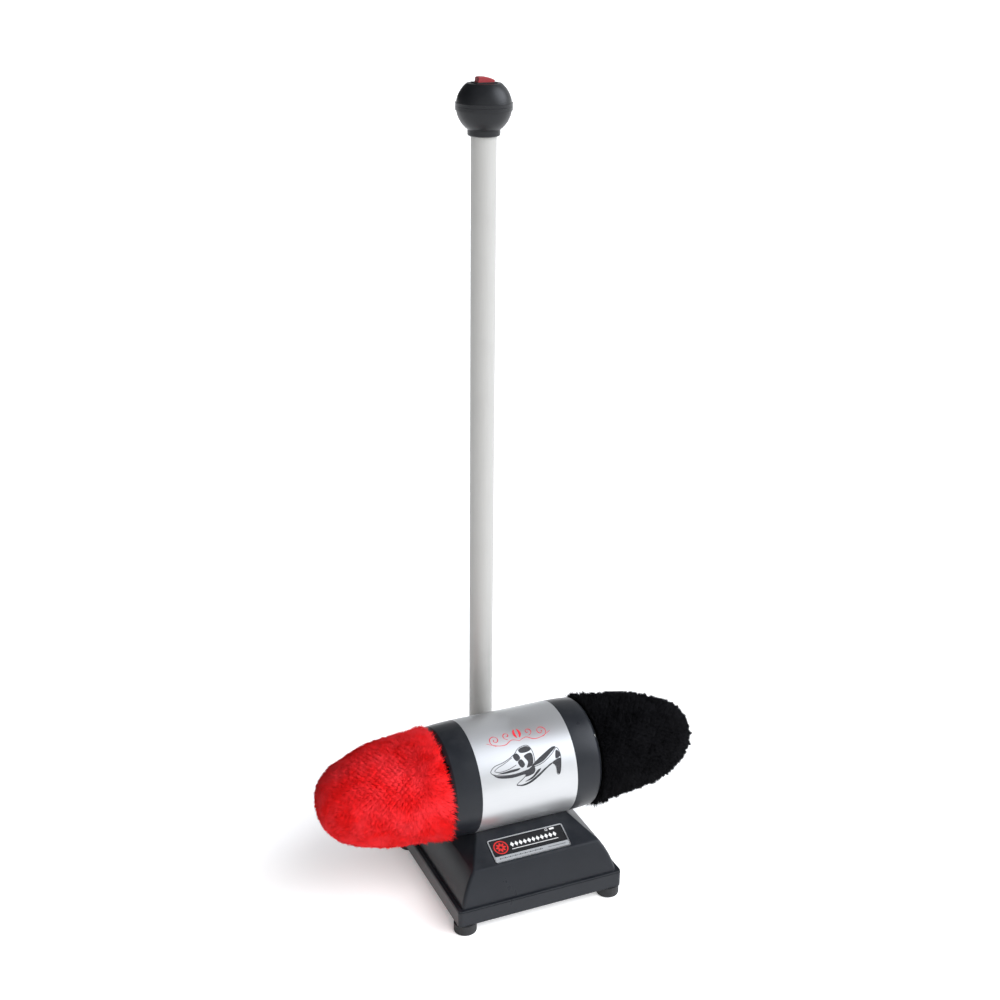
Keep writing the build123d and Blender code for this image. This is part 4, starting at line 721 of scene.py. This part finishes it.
def add_sleeve_print():
    """A red pen flourish over a small drawing of a loafer and a court shoe."""
    red = Inlay(on_sleeve, INK_LOW, INK_HIGH)
    middle_x, middle_arc = -2.0, 64.0
    for side in (-1, 1):
        for size, x, arc, turns in ((6.6, 26.0, 0.5, 1.35), (4.6, 12.0, 3.0, 1.1)):
            spiral = []
            for step in range(44):
                share = step / 43
                angle = math.radians(-90) + share * turns * 2 * math.pi
                reach = size * (1 - 0.86 * share)
                across, up = x + reach * math.cos(angle), arc + reach * math.sin(angle)
                spiral.append((middle_x + side * across, middle_arc + up))
            red.stroke(spiral, pen(spiral, 0.35, 0.95, 0.7 * side))
        tail = smooth([(0, -5.6), (8, -3.0), (16, -6.8), (25, -6.1), (36, -1.5)])
        tail = [(middle_x + side * p[0], middle_arc + p[1]) for p in tail]
        red.stroke(tail, pen(tail, 0.35, 0.85, 0.7 * side))
        leaf = smooth([(1.2, -2.0), (4.2, 1.5), (4.0, 6.0), (1.4, 9.0), (1.8, 4.0)], closed=True)
        red.panel([(middle_x + side * p[0], middle_arc + p[1]) for p in (leaf if side > 0 else leaf[::-1])])
    red.make("sleeve_flourish", printed_ink("flourish_ink", (0.56, 0.015, 0.03), (0.62, 0.10, 0.11)))

    black = Inlay(on_sleeve, INK_LOW, INK_HIGH)
    # the loafer, from its toe on the left to its heel
    upper = [(-42, 32), (-37, 37.3), (-25, 40), (-13, 45.2), (-6.5, 50.5), (3, 52.2), (7.2, 47), (8.2, 38), (5.8, 29.5),
             (-5, 26.5), (-20, 25.6), (-35, 28)]
    black.stroke(smooth(upper, closed=True), 0.7, closed=True)
    sole = [(-41.6, 31.6), (-36, 27.6), (-20, 25.2), (-5, 26.1), (6.0, 29.3), (5.4, 22.6), (-4.4, 20.4), (-5.6, 23.0),
            (-20, 22.4), (-35, 25.2)]
    black.panel(smooth(sole, closed=True, steps=4))
    black.panel(smooth([(-6.4, 49.6), (2.6, 51.4), (6.8, 47.2), (1.6, 45.0), (-5.6, 45.6)], closed=True, steps=5))
    black.panel(smooth([(-14.6, 43.4), (-9.8, 46.0), (-6.9, 40.6), (-11.6, 38.0)], closed=True, steps=4))
    black.panel(smooth([(-10.6, 36.6), (-6.2, 39.0), (-3.4, 33.0), (-7.6, 30.4)], closed=True, steps=4))
    welt = [(-16, 42.4), (-26, 38.0), (-34, 35.4), (-37.4, 32.6), (-32, 30.8), (-22, 31.6), (-13, 34.4)]
    black.stroke(smooth(welt), 0.6)
    black.panel(smooth([(-34.6, 29.4), (-26, 28.0), (-13, 28.4), (-9.4, 30.4), (-18, 30.6), (-27, 30.0)],
                       closed=True, steps=4))
    black.panel(smooth([(-2.6, 41.6), (5.6, 43.6), (6.8, 37.4), (4.6, 31.0), (-2.0, 29.4), (0.4, 35.0)],
                       closed=True, steps=5))
    # the court shoe, in front of it
    court = [(-15.5, 14.2), (-6, 20.5), (2, 28.5), (9, 29.0), (18, 31.5), (28, 37.5), (35, 43), (37.5, 36), (36.6, 27),
             (34, 16.5), (30.8, 16.3), (30.4, 23.6), (26.6, 28.4), (19, 25), (10, 19.5), (0, 14.5), (-9, 12.6)]
    black.stroke(smooth(court, closed=True), 0.7, closed=True)
    black.panel(smooth([(3.2, 29.8), (10, 34.6), (20, 40), (30, 44.6), (34.2, 43.8), (27, 38.6), (18, 32.8),
                        (9.4, 30.2)], closed=True, steps=5))
    black.panel(smooth([(26.8, 28.9), (36.4, 32.0), (36.2, 27), (34, 16.9), (31.2, 16.9), (30.8, 24.2)],
                       closed=True, steps=4))
    black.panel(smooth([(33.4, 40.4), (36.6, 38.6), (36.9, 33.6), (31.4, 32.2)], closed=True, steps=4))
    shank = smooth([(27, 28.2), (19, 24.6), (10, 19.1), (0, 14.1), (-9, 12.4), (-15.4, 14.0)])
    black.stroke(shank, [1.9 * math.sin(math.pi * (i + 1) / (len(shank) + 1)) + 0.5 for i in range(len(shank))])
    black.panel(smooth([(-6, 15.6), (3, 19.4), (9, 24.4), (13.4, 25.6), (9.6, 21.6), (2, 16.8)], closed=True, steps=5))
    black.make("sleeve_drawing", printed_ink("drawing_ink", (0.022, 0.022, 0.025), (0.07, 0.07, 0.075)))


# ---- nameplate face ----------------------------------------------------------------------------------

PLATE_SLOPE = math.atan2(17.0, 41.4)
PLATE_THICK = 0.9 * MM
PLATE_DEPTH = 28.0
PLATE_FRAME = 1.0
RECESS = 0.3 * MM


def on_plate(x, up, height):
    """A point over the nameplate's recess: x across it and up the slope from its middle, in millimetres."""
    low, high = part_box("nameplate")
    middle = (low + high) / 2
    slope = Vector((0, math.cos(PLATE_SLOPE), math.sin(PLATE_SLOPE)))
    normal = Vector((0, -math.sin(PLATE_SLOPE), math.cos(PLATE_SLOPE)))
    floor = middle + normal * (PLATE_THICK / 2 - RECESS)
    return tuple(floor + Vector((x * MM, 0, 0)) + slope * up * MM + normal * height)


def add_nameplate():
    """A black enamel field with a red rosette, a row of lozenges and a silver strip; it carries no lettering."""
    low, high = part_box("nameplate")
    half_x = (high.x - low.x) / 2 / MM - PLATE_FRAME - 0.2
    half_up = PLATE_DEPTH / 2 - PLATE_FRAME - 0.2
    strip_top = -half_up + 5.6
    field = Inlay(on_plate, 0.01 * MM, 0.18 * MM)
    field.panel(rectangle(-half_x, strip_top + 0.3, half_x, half_up, 0.8))
    black = printed_ink("nameplate_enamel", (0.006, 0.006, 0.007), (0.015, 0.015, 0.016))
    field.make("nameplate_field", black)
    strip = Inlay(on_plate, 0.01 * MM, 0.16 * MM)
    strip.panel(rectangle(-half_x, -half_up, half_x, strip_top, 0.8))
    grey = printed_ink("strip_ink", (0.26, 0.27, 0.28), (0.34, 0.35, 0.36))
    strip.make("nameplate_strip", grey)

    rosette = Inlay(on_plate, 0.18 * MM, 0.27 * MM)
    centre_x, centre_up = -half_x + 10.5, (strip_top + half_up) / 2
    ring = circle(centre_x, centre_up, 7.4, 40)
    rosette.stroke(ring, 1.2, closed=True)
    for petal in range(8):
        turn = 2 * math.pi * petal / 8
        shape = [(1.4, 0), (3.4, 1.15), (5.9, 0), (3.4, -1.15)]
        cos, sin = math.cos(turn), math.sin(turn)
        shape = [(centre_x + a * cos - b * sin, centre_up + a * sin + b * cos) for a, b in shape]
        shape = smooth(shape[::-1], closed=True, steps=4)
        rosette.panel(shape[::-1])
    red = printed_ink("rosette_enamel", (0.52, 0.018, 0.016), (0.62, 0.05, 0.04))
    rosette.make("nameplate_rosette", red)

    marks = Inlay(on_plate, 0.18 * MM, 0.25 * MM)
    first = centre_x + 13.0
    pitch, count = 4.9, 11
    for number in range(count):
        x = first + number * pitch
        marks.panel([(x - 2.1, centre_up + 0.6), (x, centre_up - 2.4), (x + 2.1, centre_up + 0.6),
                     (x, centre_up + 3.6)])
    last = first + (count - 1) * pitch + 2.1
    marks.panel(rectangle(first - 2.1, centre_up - 5.2, last, centre_up - 4.5))
    marks.stroke(circle(last - 9.0, half_up - 2.2, 1.3, 20), 0.5, closed=True)
    marks.panel(rectangle(last - 5.5, half_up - 3.3, last, half_up - 1.1, 0.5))
    marks.make("nameplate_lozenges", printed_ink("lozenge_ink", (0.62, 0.62, 0.62), (0.70, 0.70, 0.70)))

    dots = Inlay(on_plate, 0.16 * MM, 0.22 * MM)
    for number in range(26):
        x = -half_x + 5.0 + number * 1.9
        dots.panel(circle(x, (strip_top - half_up) / 2, 0.55 if number % 3 else 0.8, 8))
    dots.panel(rectangle(half_x - 24, (strip_top - half_up) / 2 - 0.25, half_x - 4, (strip_top - half_up) / 2 + 0.25))
    dots.make("nameplate_dots", printed_ink("dot_ink", (0.03, 0.03, 0.03), (0.06, 0.06, 0.06)))


# ---- stage -------------------------------------------------------------------------------------------

FLOOR_REACH = 30

def facing(tree, way, towards):
    """The cosine between a direction and a fixed one."""
    return add_node(tree, "ShaderNodeVectorMath", {0: way, 1: Vector(towards).normalized()},
                    operation="DOT_PRODUCT").outputs["Value"]


def add_surround():
    """Soft studio surround: bright at the horizon, dim overhead and on the left, with a soft box on the right."""
    world = bpy.data.worlds.new("surround")
    world.use_nodes = True
    tree = world.node_tree
    way = add_node(tree, "ShaderNodeTexCoord").outputs["Generated"]
    height = add_node(tree, "ShaderNodeSeparateXYZ", {0: way}).outputs["Z"]
    sky = ramp(tree, height, (0.0, (0.90, 0.92, 0.94)), (0.22, (0.82, 0.84, 0.86)), (0.55, (0.58, 0.59, 0.60)),
               (0.85, (0.24, 0.24, 0.25)))
    shade = ramp(tree, facing(tree, way, (-0.75, 0.65, 0.1)), (0.05, 1.0), (0.75, 0.06))
    box = ramp(tree, facing(tree, way, (0.776, -0.355, 0.52)), (0.86, 0.0), (0.95, 1.0))
    light = mix(tree, 1.0, box, (4.2, 4.4, 4.8), "MULTIPLY")
    colour = mix(tree, 1.0, mix(tree, 1.0, sky, shade, "MULTIPLY"), light, "ADD")
    tree.links.new(colour, tree.nodes["Background"].inputs["Color"])
    bpy.context.scene.world = world


def add_stage():
    """A pale floor under the soft surround, and a very soft sun from the front, so that shadows fall behind."""
    corners = FLOOR_REACH * np.array([(-1, -1, 0), (1, -1, 0), (1, 1, 0), (-1, 1, 0)])
    floor = mesh_piece("floor", corners, [np.array([(0, 1, 2, 3)])], stage_paper("floor_paper"), smooth=False)
    add_surround()
    data = bpy.data.lights.new("sun", "SUN")
    data.energy = 2.9
    data.angle = math.radians(50)
    sun = link(bpy.data.objects.new("sun", data))
    sun.rotation_euler = Vector((0.22, -0.74, 0.63)).to_track_quat("Z", "Y").to_euler()
    sun.visible_glossy = False
    bpy.context.scene.view_settings.view_transform = "Standard"


add_camera()
add_stage()
paint_cad()
add_bonnets()
add_sleeve_print()
add_nameplate()
